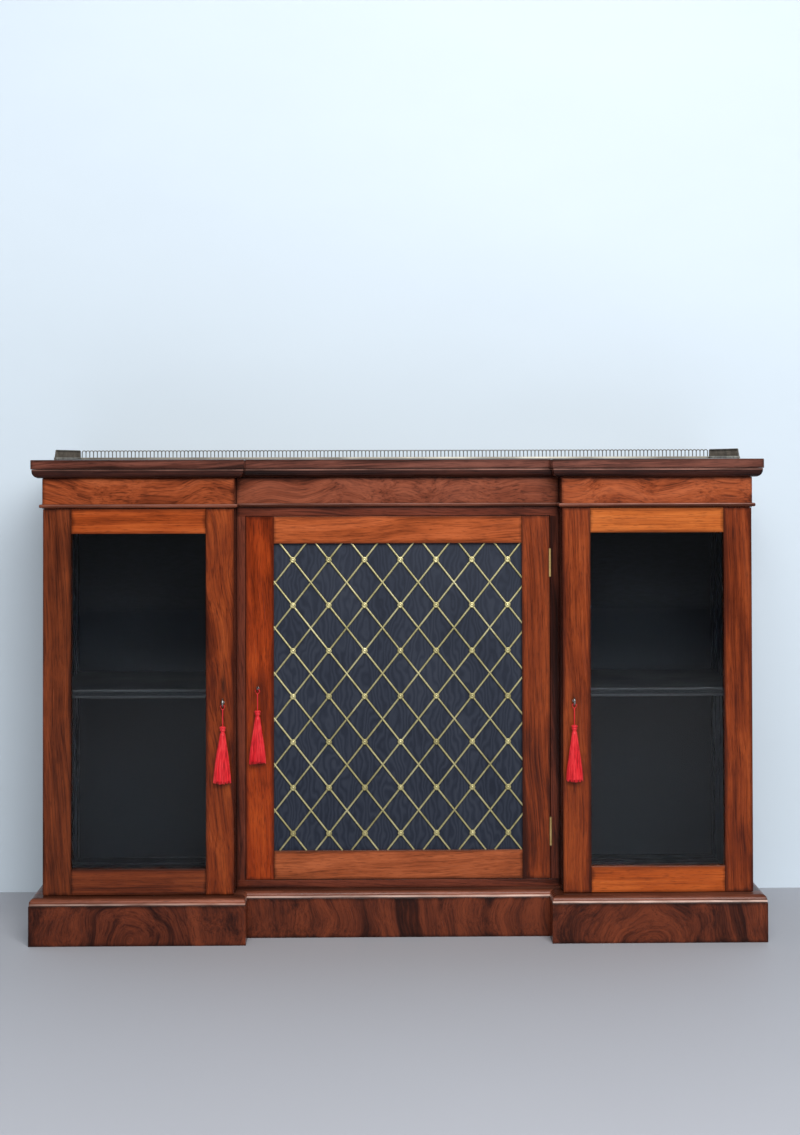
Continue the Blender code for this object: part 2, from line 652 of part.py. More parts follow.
def make_wing_door(name, sign, uprights):
    """A glazed wing door that closes over the front of its wing, hinged on the outer side."""
    hinge_x = sign * WING_DOOR_OUTER
    lock_x = sign * WING_DOOR_INNER
    prefix = f"{name}_door"
    door = make_door_frame(prefix, hinge_x, lock_x, WING_FACE, WING_DOOR_BOTTOM, WING_DOOR_TOP,
                           WING_STILE, WING_TOP_RAIL, WING_BOTTOM_RAIL, "rosewood_door")
    front = WING_FACE + PANE_SETBACK
    groove_door(prefix, door, front, front + PANE_THICK)
    x, z = lapped(door, PANE_LAP)
    glass = box(f"{prefix}_glass", x, (front, front + PANE_THICK), z, "glass")
    door_back = WING_FACE + DOOR_THICK
    axis = (sign * (WING_DOOR_OUTER + DOOR_INSET / 3), door_back + FIT / 2)
    turn = Matrix.Rotation(math.pi if sign > 0 else 0, 4, "Y")
    body = door["members"] + [glass]
    for end, level in (("upper", WING_DOOR_TOP - WING_HINGE_FROM_END), ("lower", WING_DOOR_BOTTOM + WING_HINGE_FROM_END)):
        frame = Matrix.Translation((*axis, level)) @ turn
        body.append(make_hinge(f"{prefix}_{end}_hinge", frame, [door["stiles"]["hinge"], uprights[f"side_{name}"]]))
    key_x = lock_x + sign * WING_KEY_FROM_EDGE
    end_x = sign * (WING_INNER_LOW + LOCK_FROM_WALL)
    body += make_lock(prefix, key_x, WING_KEY_LEVEL, door_back, end_x, -sign, door["stiles"]["lock"],
                      uprights[f"partition_{name}"])
    door_pivot = pivot(f"{prefix}_pivot", (*axis, 0))
    carry(door_pivot, body)
    make_key_set(prefix, door_pivot, key_x, WING_KEY_LEVEL, WING_FACE, WING_BOW_HEIGHT, WING_TASSEL_SKIRT_LENGTH)


def clip(outline, axis, limit, keep_above):
    """Clip a closed outline against one straight limit."""
    kept = []
    for first, second in zip(outline, outline[1:] + outline[:1]):
        inside = [(point[axis] > limit) == keep_above for point in (first, second)]
        if inside[0]:
            kept.append(first)
        if inside[0] != inside[1]:
            share = (limit - first[axis]) / (second[axis] - first[axis])
            kept.append(tuple(a + (b - a) * share for a, b in zip(first, second)))
    return kept


def trellis_pitch(half_width, half_height):
    """Spacing of the rosettes across and up, from the opening and the distance of the outer ones to its edge."""
    gaps = TRELLIS_COUNT - 1
    across = (2 * half_width - TRELLIS_END_LEFT - TRELLIS_END_RIGHT) / gaps
    return across, 2 * (half_height - TRELLIS_END_Z) / gaps


def trellis_holes(half_width, half_height):
    """The diamond gaps between two crossing sets of bars, clipped to the opening."""
    pitch_x, pitch_z = trellis_pitch(half_width, half_height)
    wide = pitch_x / 2
    tall = pitch_z / 2
    shrink = 1 - TRELLIS_BAR / 2 * math.hypot(wide, tall) / (wide * tall)
    reach = TRELLIS_COUNT + 1
    holes = []
    for column in range(-reach, reach + 1):
        for row in range(-reach, reach + 1):
            if (column + row + TRELLIS_COUNT) % 2 == TRELLIS_COUNT % 2:
                continue
            x = column * wide + TRELLIS_SHIFT
            z = row * tall
            hole = [(x + wide * shrink, z), (x, z + tall * shrink), (x - wide * shrink, z), (x, z - tall * shrink)]
            for axis, limit in ((0, half_width), (1, half_height)):
                hole = clip(hole, axis, limit, False)
                hole = clip(hole, axis, -limit, True)
            if len(hole) > 2:
                holes.append(hole)
    return holes


def make_trellis(name, door, front):
    """The brass trellis: a flat lattice in a border, with a turned rosette on every other crossing."""
    x, z = lapped(door, 0)
    half_width = (x[1] - x[0]) / 2
    half_height = (z[1] - z[0]) / 2
    middle = ((x[0] + x[1]) / 2, front + TRELLIS_THICK / 2, (z[0] + z[1]) / 2)
    frame = Matrix.Translation(middle) @ Matrix.Rotation(math.pi / 2, 4, "X")
    wide = half_width + PANE_LAP
    tall = half_height + PANE_LAP
    border = [(-wide, -tall), (wide, -tall), (wide, tall), (-wide, tall)]
    trellis = pierced_plate(f"{name}_trellis", border, trellis_holes(half_width, half_height), TRELLIS_THICK,
                            "gilt_brass", frame)
    shape = bmesh.new()
    half = (TRELLIS_COUNT - 1) / 2
    pitch_x, pitch_z = trellis_pitch(half_width, half_height)
    rise = TRELLIS_THICK / 2 + ROSETTE_HEIGHT
    for column in range(TRELLIS_COUNT):
        for row in range(TRELLIS_COUNT):
            spot = ((column - half) * pitch_x + TRELLIS_SHIFT, (row - half) * pitch_z, rise / 2)
            bmesh.ops.create_cone(
                shape, cap_ends=True, segments=ROSETTE_SIDES, radius1=ROSETTE_RADIUS, radius2=ROSETTE_CROWN, depth=rise,
                matrix=Matrix.Translation(spot))
    rosettes = add(f"{name}_rosettes", mesh_from(f"{name}_rosettes", shape), frame=frame)
    fuse(trellis, rosettes)
    return trellis


def make_centre_door(uprights):
    """The recessed centre door: trellis over silk, hinged on the right inside its frame."""
    prefix = "centre_door"
    hinge_x = CENTRE_DOOR_EDGE
    lock_x = -CENTRE_DOOR_EDGE
    door = make_door_frame(prefix, hinge_x, lock_x, CENTRE_FACE, CENTRE_DOOR_BOTTOM, CENTRE_DOOR_TOP,
                           CENTRE_STILE, CENTRE_TOP_RAIL, CENTRE_BOTTOM_RAIL, "rosewood_centre")
    front = CENTRE_FACE + PANE_SETBACK
    silk_front = front + TRELLIS_THICK + FIT
    groove_door(prefix, door, front, silk_front + SILK_THICK)
    x, z = lapped(door, PANE_LAP)
    silk = box(f"{prefix}_silk_panel", x, (silk_front, silk_front + SILK_THICK), z, "moire_silk")
    body = door["members"] + [make_trellis(prefix, door, front), silk]
    axis = (CENTRE_DOOR_EDGE + DOOR_GAP / 2, CENTRE_FACE)
    turn = Matrix(((0, 1, 0, 0), (1, 0, 0, 0), (0, 0, -1, 0), (0, 0, 0, 1)))
    for end, level in (("upper", CENTRE_DOOR_TOP - CENTRE_HINGE_FROM_END),
                       ("lower", CENTRE_DOOR_BOTTOM + CENTRE_HINGE_FROM_END)):
        frame = Matrix.Translation((*axis, level)) @ turn
        body.append(make_hinge(f"{prefix}_{end}_hinge", frame, [door["stiles"]["hinge"], uprights["frame"]]))
    key_x = lock_x + CENTRE_KEY_FROM_EDGE
    door_back = CENTRE_FACE + DOOR_THICK
    body += make_lock(prefix, key_x, CENTRE_KEY_LEVEL, door_back, lock_x + CENTRE_LOCK_FROM_EDGE, -1,
                      door["stiles"]["lock"], uprights["frame"])
    door_pivot = pivot(f"{prefix}_pivot", (*axis, 0))
    carry(door_pivot, body)
    make_key_set(prefix, door_pivot, key_x, CENTRE_KEY_LEVEL, CENTRE_FACE, CENTRE_BOW_HEIGHT, CENTRE_TASSEL_SKIRT_LENGTH)


def gallery_strip(name, length, frame, swept_end):
    """A pierced brass strip with a hooped top edge; a swept end ramps down to the base at its start."""
    start = GALLERY_END if swept_end else 0
    count = int((length - start - GALLERY_RIM) / GALLERY_PITCH)
    first = start + (length - start - count * GALLERY_PITCH) / 2
    shoulder = GALLERY_HEIGHT - GALLERY_RIM
    outline = [(0, 0), (length, 0), (length, shoulder)]
    holes = []
    for index in reversed(range(count)):
        middle = first + (index + 0.5) * GALLERY_PITCH
        crown = GALLERY_PITCH / 4
        outline += [(middle + 2 * crown, shoulder), (middle + crown, GALLERY_HEIGHT), (middle - crown, GALLERY_HEIGHT)]
        half = GALLERY_SLOT / 2
        spring = shoulder - half
        holes.append([
            (middle - half, GALLERY_BASE), (middle + half, GALLERY_BASE), (middle + half, spring),
            (middle, shoulder), (middle - half, spring)])
    outline.append((first, shoulder))
    if swept_end:
        drop = shoulder - GALLERY_BASE / 2
        for step in range(1, 5):
            turn = math.pi / 2 * step / 4
            outline.append((first * (1 - math.sin(turn)), GALLERY_BASE / 2 + drop * (1 - math.sin(turn)) ** 1.5))
    else:
        outline.append((0, shoulder))
    pierced_plate(name, outline, holes, GALLERY_THICK, "brass", frame)


def make_gallery():
    """The three-quarter gallery round the back and sides of the top board."""
    stand = TOP_TOP + FIT
    back = BACK - GALLERY_BACK_SET
    upright = Matrix.Rotation(math.pi / 2, 4, "X")
    run = 2 * GALLERY_HALF_WIDTH
    gallery_strip("gallery_back", run, Matrix.Translation((-GALLERY_HALF_WIDTH, back, stand)) @ upright, False)
    front = FRONT + GALLERY_FRONT_SET
    length = back - GALLERY_THICK / 2 - FIT - front
    for name, sign in (("left", -1), ("right", 1)):
        x = sign * (GALLERY_HALF_WIDTH - GALLERY_THICK / 2)
        frame = Matrix.Translation((x, front, stand)) @ Matrix.Rotation(math.pi / 2, 4, "Z") @ upright
        gallery_strip(f"gallery_{name}", length, frame, True)


clear_scene()
PARTS = make_collection("cabinet")
HELPERS = make_collection("cutters")
make_finishes()
UPRIGHTS = make_case()
make_mouldings()
make_shelves(UPRIGHTS)
make_wing_door("left", -1, UPRIGHTS)
make_wing_door("right", 1, UPRIGHTS)
make_centre_door(UPRIGHTS)
make_gallery()
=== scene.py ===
"""Looks of the breakfront bookcase cabinet: fine brass, silk and tassels, and the woods of every board."""
import math
import random

import bpy
from mathutils import Matrix, Vector


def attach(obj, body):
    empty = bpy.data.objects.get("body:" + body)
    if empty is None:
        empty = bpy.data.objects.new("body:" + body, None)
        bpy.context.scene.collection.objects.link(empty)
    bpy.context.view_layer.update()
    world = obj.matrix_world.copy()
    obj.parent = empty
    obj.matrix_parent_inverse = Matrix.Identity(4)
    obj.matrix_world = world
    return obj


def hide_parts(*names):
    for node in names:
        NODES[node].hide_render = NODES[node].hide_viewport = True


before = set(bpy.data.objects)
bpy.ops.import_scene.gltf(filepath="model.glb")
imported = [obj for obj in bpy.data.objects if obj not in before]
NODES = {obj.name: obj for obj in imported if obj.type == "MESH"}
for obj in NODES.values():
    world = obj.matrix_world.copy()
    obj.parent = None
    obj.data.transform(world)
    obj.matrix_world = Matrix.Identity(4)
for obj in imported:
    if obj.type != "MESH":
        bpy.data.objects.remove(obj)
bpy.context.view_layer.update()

SCENE = bpy.context.scene
SIDES = ("left", "right", "centre")

# Planes of the cabinet, in metres
WING_FACE = -0.1795
CENTRE_FACE = -0.1185
TOP_TOP = 1.0132
BACK = 0.2055
WALL = 0.285
WING_BACK = -0.1562
FRAME_BACK = -0.0765
SIDE_INNER = 0.7478
WING_INNER = 0.3450

# Keys and tassels: the key's axis at the lock, the bow and the lengths that hang from it
KEY_AXIS = {
    "left": Vector((-0.3690, WING_FACE, 0.5040)),
    "right": Vector((0.3690, WING_FACE, 0.5040)),
    "centre": Vector((-0.2998, CENTRE_FACE, 0.5260)),
}
BOW_HEIGHT = {"left": 0.0190, "right": 0.0190, "centre": 0.0130}
BOW_LENGTH = 0.0180
BOW_WIRE = 0.0017
BOW_STAND_OFF = 0.0142
SKIRT_LENGTH = {"left": 0.1060, "right": 0.1060, "centre": 0.1000}
LOOP_DROP = 0.0067
CORD_LENGTH = 0.0349
CORD_INSIDE = 0.0680
CORD_WIDTH = 0.0022
HEAD_HEIGHT = 0.0110
NECK_HEIGHT = 0.0040
SKIRT_RADIUS = 0.0182
TASSEL_FLAT = 0.58


# Camera

LENS = 58.63
SENSOR = 36.0
FRAME_DROP = -0.1216
EYE = (-0.0590, WING_FACE - 3.9, 1.0158)
PAN = -0.016158
TILT = math.pi / 2 + 0.015468
ROLL = -0.002158


def set_camera():
    """A plain camera at the place and angle of the photograph."""
    camera = bpy.data.cameras.new("camera")
    camera.lens = LENS
    camera.sensor_width = SENSOR
    camera.shift_y = FRAME_DROP
    eye = bpy.data.objects.new("camera", camera)
    SCENE.collection.objects.link(eye)
    turn = Matrix.Rotation(PAN, 4, "Z") @ Matrix.Rotation(TILT, 4, "X")
    eye.matrix_world = Matrix.Translation(EYE) @ turn @ Matrix.Rotation(ROLL, 4, "Z")
    SCENE.camera = eye


set_camera()


# Modelling helpers

DOUBLE_GAP = 0.000005


def pick(*pieces):
    """Select these pieces alone; the first becomes active."""
    bpy.ops.object.select_all(action="DESELECT")
    for piece in pieces:
        piece.select_set(True)
    bpy.context.view_layer.objects.active = pieces[0]


def new_piece(name):
    """Name the primitive that was just added."""
    piece = bpy.context.object
    piece.name = name
    piece.data.name = name
    return piece


def settle(piece):
    """Put a piece's place, turn and scale into its mesh."""
    pick(piece)
    bpy.ops.object.transform_apply(location=True, rotation=True, scale=True)


def settled_piece(name, scale=(1, 1, 1)):
    """Name the primitive that was just added, scale it and settle it."""
    piece = new_piece(name)
    piece.scale = scale
    settle(piece)
    return piece


def choose(piece, test, kind):
    """Open a piece in edit mode with only the edges or points that pass a test selected."""
    pick(piece)
    mesh = piece.data
    for group in (mesh.vertices, mesh.edges, mesh.polygons):
        group.foreach_set("select", [False] * len(group))
    if kind == "EDGE":
        for edge in mesh.edges:
            first, second = (mesh.vertices[index].co for index in edge.vertices)
            edge.select = bool(test((first + second) / 2, second - first))
    else:
        for point in mesh.vertices:
            point.select = bool(test(point.co))
    bpy.ops.object.mode_set(mode="EDIT")
    bpy.ops.mesh.select_mode(type=kind)


def close_edit():
    """Leave edit mode."""
    bpy.ops.object.mode_set(mode="OBJECT")


def open_all(piece):
    """Open a piece in edit mode with everything selected."""
    pick(piece)
    bpy.ops.object.mode_set(mode="EDIT")
    bpy.ops.mesh.select_all(action="SELECT")


def apply_modifier(piece, kind, **settings):
    """Add a modifier with its settings and apply it."""
    pick(piece)
    modifier = piece.modifiers.new(kind.lower(), kind)
    for key, value in settings.items():
        setattr(modifier, key, value)
    bpy.ops.object.modifier_apply(modifier=modifier.name)


def repeat(piece, count, travel):
    """Repeat a piece along a line."""
    apply_modifier(piece, "ARRAY", count=count, use_relative_offset=False, use_constant_offset=True,
                   constant_offset_displace=travel)


def clean(piece):
    """Merge doubles and turn every face outwards."""
    open_all(piece)
    bpy.ops.mesh.remove_doubles(threshold=DOUBLE_GAP)
    bpy.ops.mesh.normals_make_consistent(inside=False)
    close_edit()


def smooth(piece, degrees):
    """Shade a piece smooth and keep its sharp corners."""
    pick(piece)
    bpy.ops.object.shade_smooth_by_angle(angle=math.radians(degrees))


def join(name, pieces):
    """Join pieces into the first one."""
    pick(*pieces)
    bpy.ops.object.join()
    return new_piece(name)


def shift(piece, travel):
    """Move a piece and put its place into its mesh."""
    piece.location = travel
    settle(piece)


def dress(piece, body, slot, finish, *nodes):
    """Give a piece its finish and its body, and hide the nodes it stands for; the slot is not used."""
    piece.data.materials.clear()
    piece.data.materials.append(finish)
    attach(piece, body)
    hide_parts(*nodes)


def block(name, low, high, round_off):
    """A block between two corners with its edges rounded."""
    low = Vector(low)
    high = Vector(high)
    bpy.ops.mesh.primitive_cube_add(size=1, location=(low + high) / 2)
    piece = settled_piece(name, high - low)
    choose(piece, lambda middle, run: True, "EDGE")
    bpy.ops.mesh.bevel(offset=round_off, segments=2, profile=0.5, affect="EDGES")
    close_edit()
    return piece


def turned(name, middle, profile, sides, flat=1.0):
    """A turned form: a ring pulled through a profile of radius and level, closed at both ends."""
    radius, level = profile[0]
    bpy.ops.mesh.primitive_circle_add(
        vertices=sides, radius=radius, fill_type="NGON", location=(middle[0], middle[1], level))
    piece = settled_piece(name)
    open_all(piece)
    for wide, high in profile[1:]:
        bpy.ops.mesh.extrude_region_move(TRANSFORM_OT_translate={"value": (0, 0, high - level)})
        share = wide / radius
        bpy.ops.transform.resize(value=(share, share, 1), center_override=(middle[0], middle[1], high))
        radius = wide
        level = high
    close_edit()
    if flat != 1.0:
        choose(piece, lambda place: True, "VERT")
        bpy.ops.transform.resize(value=(1, flat, 1), center_override=(middle[0], middle[1], level))
        close_edit()
    clean(piece)
    smooth(piece, 60)
    return piece


# Finishes

# Old polish and painted shade along a board's edges, and the share of the dark tone that is left in lines
# and pores
EDGE_REACH = 0.007
EDGE_STRENGTH = 0.75
INK_SHARE = 0.30

# Black lining inside the case, its strength on the sides, the skin of the back that it leaves free, and the
# tint of the painted shade by the keyholes
LINING_DARK = (0.0066, 0.0096, 0.0148)
LINING_LIGHT = (0.0150, 0.0206, 0.0290)
SIDE_LINING = 3.0
BACK_SKIN = 0.001
KEY_SHADE_TINT = (0.014, 0.005, 0.003)

# Painted highlight on a shelf's front edge, with two lines of painted shade: its depth, the levels of its
# lines as shares, half a line's width and the tint
REED_DEPTH = 0.0012
REED_SHADE_LINES = (0.36, 0.68)
REED_HALF = 0.0011
REED_HIGHLIGHT = (0.045, 0.048, 0.055)

# Noise in the wood: cells in a metre along the grain and across it, detail and roughness
FIBRES = (16.0, 760.0, 2.0, 0.5)
CLOUDS = (10.0, 24.0, 2.0, 0.5)
PORES = (55.0, 800.0)

# Weights of streaks, lines, fibres and clouds in the wood's tone, and the stops of dark, middle and light
TONE_WEIGHTS = (0.42, 0.22, 0.14, 0.22)
TONE_STOPS = (0.38, 0.49, 0.61)

# Stops of dull, plain and bright metal, and its scratches in a metre
METAL_STOPS = (0.30, 0.48, 0.68)
METAL_GRIT = 240.0


def start_finish(name, **sockets):
    """A Principled material with its own sockets set, ready for its pattern."""
    material = bpy.data.materials.new(name)
    material.use_nodes = True
    shader = material.node_tree.nodes["Principled BSDF"]
    for socket, value in sockets.items():
        shader.inputs[socket.replace("_", " ")].default_value = value
    return material, material.node_tree, shader


def add_node(tree, kind, inputs=None, **settings):
    """Add a shader node; an input that is a socket is linked, and any other is set."""
    node = tree.nodes.new("ShaderNode" + kind)
    for key, value in settings.items():
        setattr(node, key, value)
    for key, value in (inputs or {}).items():
        if isinstance(value, bpy.types.NodeSocket):
            tree.links.new(value, node.inputs[key])
        else:
            node.inputs[key].default_value = value
    return node


def object_place(tree):
    """Object coordinates."""
    return add_node(tree, "TexCoord").outputs["Object"]


def split_axes(tree, place=None):
    """The X, Y and Z of Object coordinates, or of others."""
    return add_node(tree, "SeparateXYZ", {0: place or object_place(tree)}).outputs


def spread(tree, seat, stretch, turn=(0, 0, 0), place=None):
    """Object coordinates, or others made from them, moved to a seat, turned and stretched."""
    place = place or object_place(tree)
    return add_node(tree, "Mapping", {
        "Vector": place, "Location": seat, "Rotation": turn, "Scale": stretch}).outputs["Vector"]


def speckle(tree, vector, detail=3.0, rough=0.55):
    """A noise value with one cell to each unit of the coordinates."""
    return add_node(tree, "TexNoise", {
        "Vector": vector, "Scale": 1.0, "Detail": detail, "Roughness": rough}).outputs["Fac"]


def times(colour, share):
    """A colour made darker or lighter."""
    return tuple(part * share for part in colour)


def ramp(tree, value, stops):
    """A colour ramp through stops of position and colour, or position and grey."""
    node = add_node(tree, "ValToRGB", {"Fac": value})
    band = node.color_ramp
    while len(band.elements) < len(stops):
        band.elements.new(0.5)
    for element, (place, colour) in zip(band.elements, stops):
        element.position = place
        if isinstance(colour, (int, float)):
            colour = (colour, colour, colour)
        element.color = (*colour, 1.0)
    return node.outputs["Color"]


def sums(tree, first, second, kind="ADD"):
    """Arithmetic on two values."""
    return add_node(tree, "Math", {0: first, 1: second}, operation=kind).outputs["Value"]


def weigh(tree, *parts):
    """A sum of values, each times its weight."""
    total = None
    for value, weight in parts:
        share = sums(tree, value, weight, "MULTIPLY")
        total = share if total is None else sums(tree, total, share)
    return total


def apart(tree, value, level):
    """How far a value lies from a level."""
    return sums(tree, sums(tree, value, level, "SUBTRACT"), 0.0, "ABSOLUTE")


def rescale(tree, value, low, high, new_low, new_high):
    """Carry a value over from one range to another and hold it there."""
    return add_node(tree, "MapRange", {
        "Value": value, 1: low, 2: high, 3: new_low, 4: new_high}).outputs["Result"]


def blend_colour(tree, share, first, second):
    """Mix two colours by a share."""
    node = add_node(tree, "Mix", data_type="RGBA")
    for name, value in (("Factor", share), ("A", first), ("B", second)):
        target = [socket for socket in node.inputs if socket.name == name and socket.enabled][0]
        if isinstance(value, bpy.types.NodeSocket):
            tree.links.new(value, target)
        elif name == "Factor":
            target.default_value = value
        else:
            target.default_value = (*value, 1.0)
    return [socket for socket in node.outputs if socket.enabled][0]


def wire(tree, shader, colour, rough=None):
    """Lead a colour, and a roughness where there is one, into the shader."""
    tree.links.new(colour, shader.inputs["Base Color"])
    if rough is not None:
        tree.links.new(rough, shader.inputs["Roughness"])


def lay_over(finish, share, tint):
    """Lay a tint by a share over the colour that a finish has so far."""
    tree = finish.node_tree
    target = tree.nodes["Principled BSDF"].inputs["Base Color"]
    tree.links.new(blend_colour(tree, share, target.links[0].from_socket, tint), target)


def raise_bump(tree, shader, height, strength, distance):
    """Turn a height value into the shader's bump."""
    bump = add_node(tree, "Bump", {"Height": height, "Strength": strength, "Distance": distance})
    tree.links.new(bump.outputs["Normal"], shader.inputs["Normal"])


def vectors(tree, first, second, kind="ADD"):
    """Arithmetic on two vectors."""
    return add_node(tree, "VectorMath", {0: first, 1: second}, operation=kind).outputs["Vector"]


def grain_stretch(along, length, across):
    """Stretch for a pattern that runs along one axis."""
    return tuple(length if letter == along else across for letter in "xyz")


def pushed(tree, place, noise, reach):
    """Coordinates pushed about by the colour of a slow noise."""
    push = vectors(tree, noise.outputs["Color"], (0.5, 0.5, 0.5), "SUBTRACT")
    return vectors(tree, place, vectors(tree, push, (reach, reach, reach), "MULTIPLY"))


def bent_space(tree, place, seat, along, lean, wave, length, across):
    """Coordinates leaned over and pushed about by slow noise, so that straight grain rolls and peaks."""
    leaned = spread(tree, seat, (1, 1, 1), (0, lean, 0), place)
    slow = vectors(tree, leaned, grain_stretch(along, 1 / length, across / length), "MULTIPLY")
    noise = add_node(tree, "TexNoise", {"Vector": slow, "Scale": 1.0, "Detail": 0.3, "Roughness": 0.35})
    return pushed(tree, leaned, noise, wave)


def grain(tree, space, along, length, across, detail, rough):
    """Noise drawn out along the grain."""
    drawn = vectors(tree, space, grain_stretch(along, length, across), "MULTIPLY")
    return speckle(tree, drawn, detail, rough)


def box_of(node):
    """Lowest and highest corner of a CAD node."""
    corners = [Vector(corner) for corner in NODES[node].bound_box]
    low = Vector([min(corner[axis] for corner in corners) for axis in range(3)])
    high = Vector([max(corner[axis] for corner in corners) for axis in range(3)])
    return low, high


def showing_box(node):
    """A board's box without the tenons that its door's stiles hide."""
    low, high = box_of(node)
    if node.endswith("_rail"):
        door = node[:node.index("_door")]
        first, second = (box_of(f"{door}_door_{stile}_stile") for stile in ("hinge", "lock"))
        low.x = min(first[1].x, second[1].x)
        high.x = max(first[0].x, second[0].x)
    return low, high


def edge_polish_and_shade(tree, node, reach, patches):
    """How much old polish and painted shade gather along a board's edges, from 0 to 1."""
    low, high = showing_box(node)
    place = split_axes(tree)
    nearest = None
    for axis, letter in ((0, "X"), (2, "Z")):
        from_low = sums(tree, place[letter], low[axis], "SUBTRACT")
        from_high = sums(tree, high[axis], place[letter], "SUBTRACT")
        gap = sums(tree, from_low, from_high, "MINIMUM")
        nearest = gap if nearest is None else sums(tree, nearest, gap, "MINIMUM")
    ragged = sums(tree, sums(tree, patches, 0.5, "SUBTRACT"), 3 * reach, "MULTIPLY")
    return rescale(tree, sums(tree, nearest, ragged), 0.0, reach, 1.0, 0.0)


# Arches in the plinth's veneers: where the wing boards begin, the middle of each arch, how fast the arches
# rise, how far the grain wanders and how often in a metre
ARCH_REGION = 0.33
ARCH_LEFT = -0.565
ARCH_RIGHT = 0.520
ARCH_RISE = 0.95
ARCH_WANDER = 0.075
ARCH_NOISE = 9.0


def arched_place(tree, place):
    """Coordinates for the plinth's veneers: upright grain that wanders, with an arch on each wing."""
    noise = add_node(tree, "TexNoise", {
        "Vector": place, "Scale": ARCH_NOISE, "Detail": 1.0, "Roughness": 0.4})
    split = split_axes(tree, pushed(tree, place, noise, ARCH_WANDER))
    on_left = sums(tree, split["X"], -ARCH_REGION, "LESS_THAN")
    on_right = sums(tree, split["X"], ARCH_REGION, "GREATER_THAN")
    on_wing = sums(tree, on_left, on_right)
    in_centre = sums(tree, 1.0, on_wing, "SUBTRACT")
    middle = weigh(tree, (on_left, ARCH_LEFT), (on_right, ARCH_RIGHT))
    aside = sums(tree, split["X"], middle, "SUBTRACT")
    lift = sums(tree, split["Z"], ARCH_RISE, "MULTIPLY")
    away = sums(tree, weigh(tree, (aside, aside), (lift, lift)), 0.5, "POWER")
    ring = sums(tree, weigh(tree, (away, on_wing), (aside, in_centre)), middle)
    return add_node(tree, "CombineXYZ", {0: ring, 1: split["Y"], 2: split["Z"]}).outputs["Vector"]


def grain_place(tree, node):
    """Object coordinates, turned across in the face frame's head and sill and arched in the plinth."""
    place = object_place(tree)
    if node == "plinth":
        return arched_place(tree, place)
    if node != "centre_face_frame":
        return place
    split = split_axes(tree, place)
    level = split["Z"]
    crosswise = add_node(tree, "CombineXYZ", {0: level, 1: split["Y"], 2: split["X"]}).outputs["Vector"]
    in_head = sums(tree, level, box_of("centre_door_top_rail")[1].z, "GREATER_THAN")
    in_sill = sums(tree, level, box_of("centre_door_bottom_rail")[0].z, "LESS_THAN")
    return blend_colour(tree, sums(tree, in_head, in_sill), place, crosswise)


# Cuts of the wood: lean, wave and its length in metres, how fast the wave changes across the grain, width
# of the dark lines in metres, the strength of the lines and of the dark streaks, and the streaks in a metre
CUTS = {
    "straight": (0.0, 0.008, 0.30, 1.0, 0.0030, 0.36, 0.15, 34.0),
    "leaning": (0.05, 0.022, 0.20, 1.0, 0.0034, 0.60, 0.65, 34.0),
    "mottled": (0.12, 0.030, 0.13, 1.2, 0.0034, 0.66, 0.45, 34.0),
    "clouded": (0.04, 0.024, 0.18, 1.0, 0.0032, 0.40, 0.25, 34.0),
    "peaked": (0.0, 0.085, 0.115, 0.25, 0.0036, 0.62, 0.12, 34.0),
    "rolling": (0.0, 0.020, 0.090, 1.0, 0.0046, 0.30, 0.70, 20.0),
}


def rosewood(name, node, along, seed, tones, cut, gloss=0.26):
    """French polished rosewood: streaks and dark lines that follow the cut, fibres, pores, and edges
    darkened by old polish and painted shade.
    """
    lean, wave, length, across, width, lines, streaks, count = CUTS[cut]
    chance = random.Random(seed)
    seat = [chance.uniform(-20, 20) for _ in range(3)]
    material, tree, shader = start_finish(name, Roughness=gloss, Specular_IOR_Level=0.16)
    place = grain_place(tree, node)
    space = bent_space(tree, place, seat, along, lean, wave, length, across)
    streak = grain(tree, space, along, 1.6, count, 4.0, 0.60)
    line = grain(tree, space, along, 4.0, 1 / width, 3.0, 0.62)
    fibre = grain(tree, space, along, *FIBRES)
    cloud = grain(tree, space, along, *CLOUDS)
    pore = speckle(tree, spread(tree, seat, grain_stretch(along, *PORES), place=place), 1.0, 0.5)
    value = weigh(tree, *zip((streak, line, fibre, cloud), TONE_WEIGHTS))
    colour = ramp(tree, value, list(zip(TONE_STOPS, tones)))
    fine = sums(tree, ramp(tree, line, [(0.34, 1.0), (0.48, 0.0)]), lines, "MULTIPLY")
    fine = sums(tree, fine, ramp(tree, streak, [(0.42, 1.0), (0.66, 0.25)]), "MULTIPLY")
    band = sums(tree, ramp(tree, streak, [(0.33, 1.0), (0.43, 0.0)]), streaks, "MULTIPLY")
    speck = ramp(tree, pore, [(0.30, 0.48), (0.43, 0.0)])
    # Dark edges: old polish, with painted shade in the gaps between boards
    edge = sums(tree, edge_polish_and_shade(tree, node, EDGE_REACH, streak), EDGE_STRENGTH, "MULTIPLY")
    for share in (fine, band, speck, edge):
        colour = blend_colour(tree, share, colour, times(tones[0], INK_SHARE))
    wire(tree, shader, colour, rescale(tree, streak, 0.3, 0.7, gloss - 0.06, gloss + 0.08))
    raise_bump(tree, shader, sums(tree, fibre, sums(tree, pore, 0.6, "MULTIPLY")), 0.12, 0.0003)
    return material


def painted_highlight_line(finish, level, reach, tint):
    """Paint a highlight along one level of a moulding, in patches and most of all on the right, where the
    light falls.
    """
    tree = finish.node_tree
    place = split_axes(tree)
    line = rescale(tree, apart(tree, place["Z"], level), reach * 0.4, reach, 1.0, 0.0)
    patch = ramp(tree, speckle(tree, spread(tree, (3, 1, 9), (9, 30, 60))), [(0.35, 0.25), (0.6, 0.9)])
    # The painted highlight grows towards the right, the side the light comes from.
    side = rescale(tree, place["X"], -0.6, 0.4, 0.40, 1.0)
    lay_over(finish, sums(tree, sums(tree, line, patch, "MULTIPLY"), side, "MULTIPLY"), tint)


def within(tree, *limits):
    """1 where every limit holds, else 0; a limit is a value, LESS_THAN or GREATER_THAN, and a level."""
    share = None
    for value, side, level in limits:
        test = sums(tree, value, level, side)
        share = test if share is None else sums(tree, share, test, "MULTIPLY")
    return share


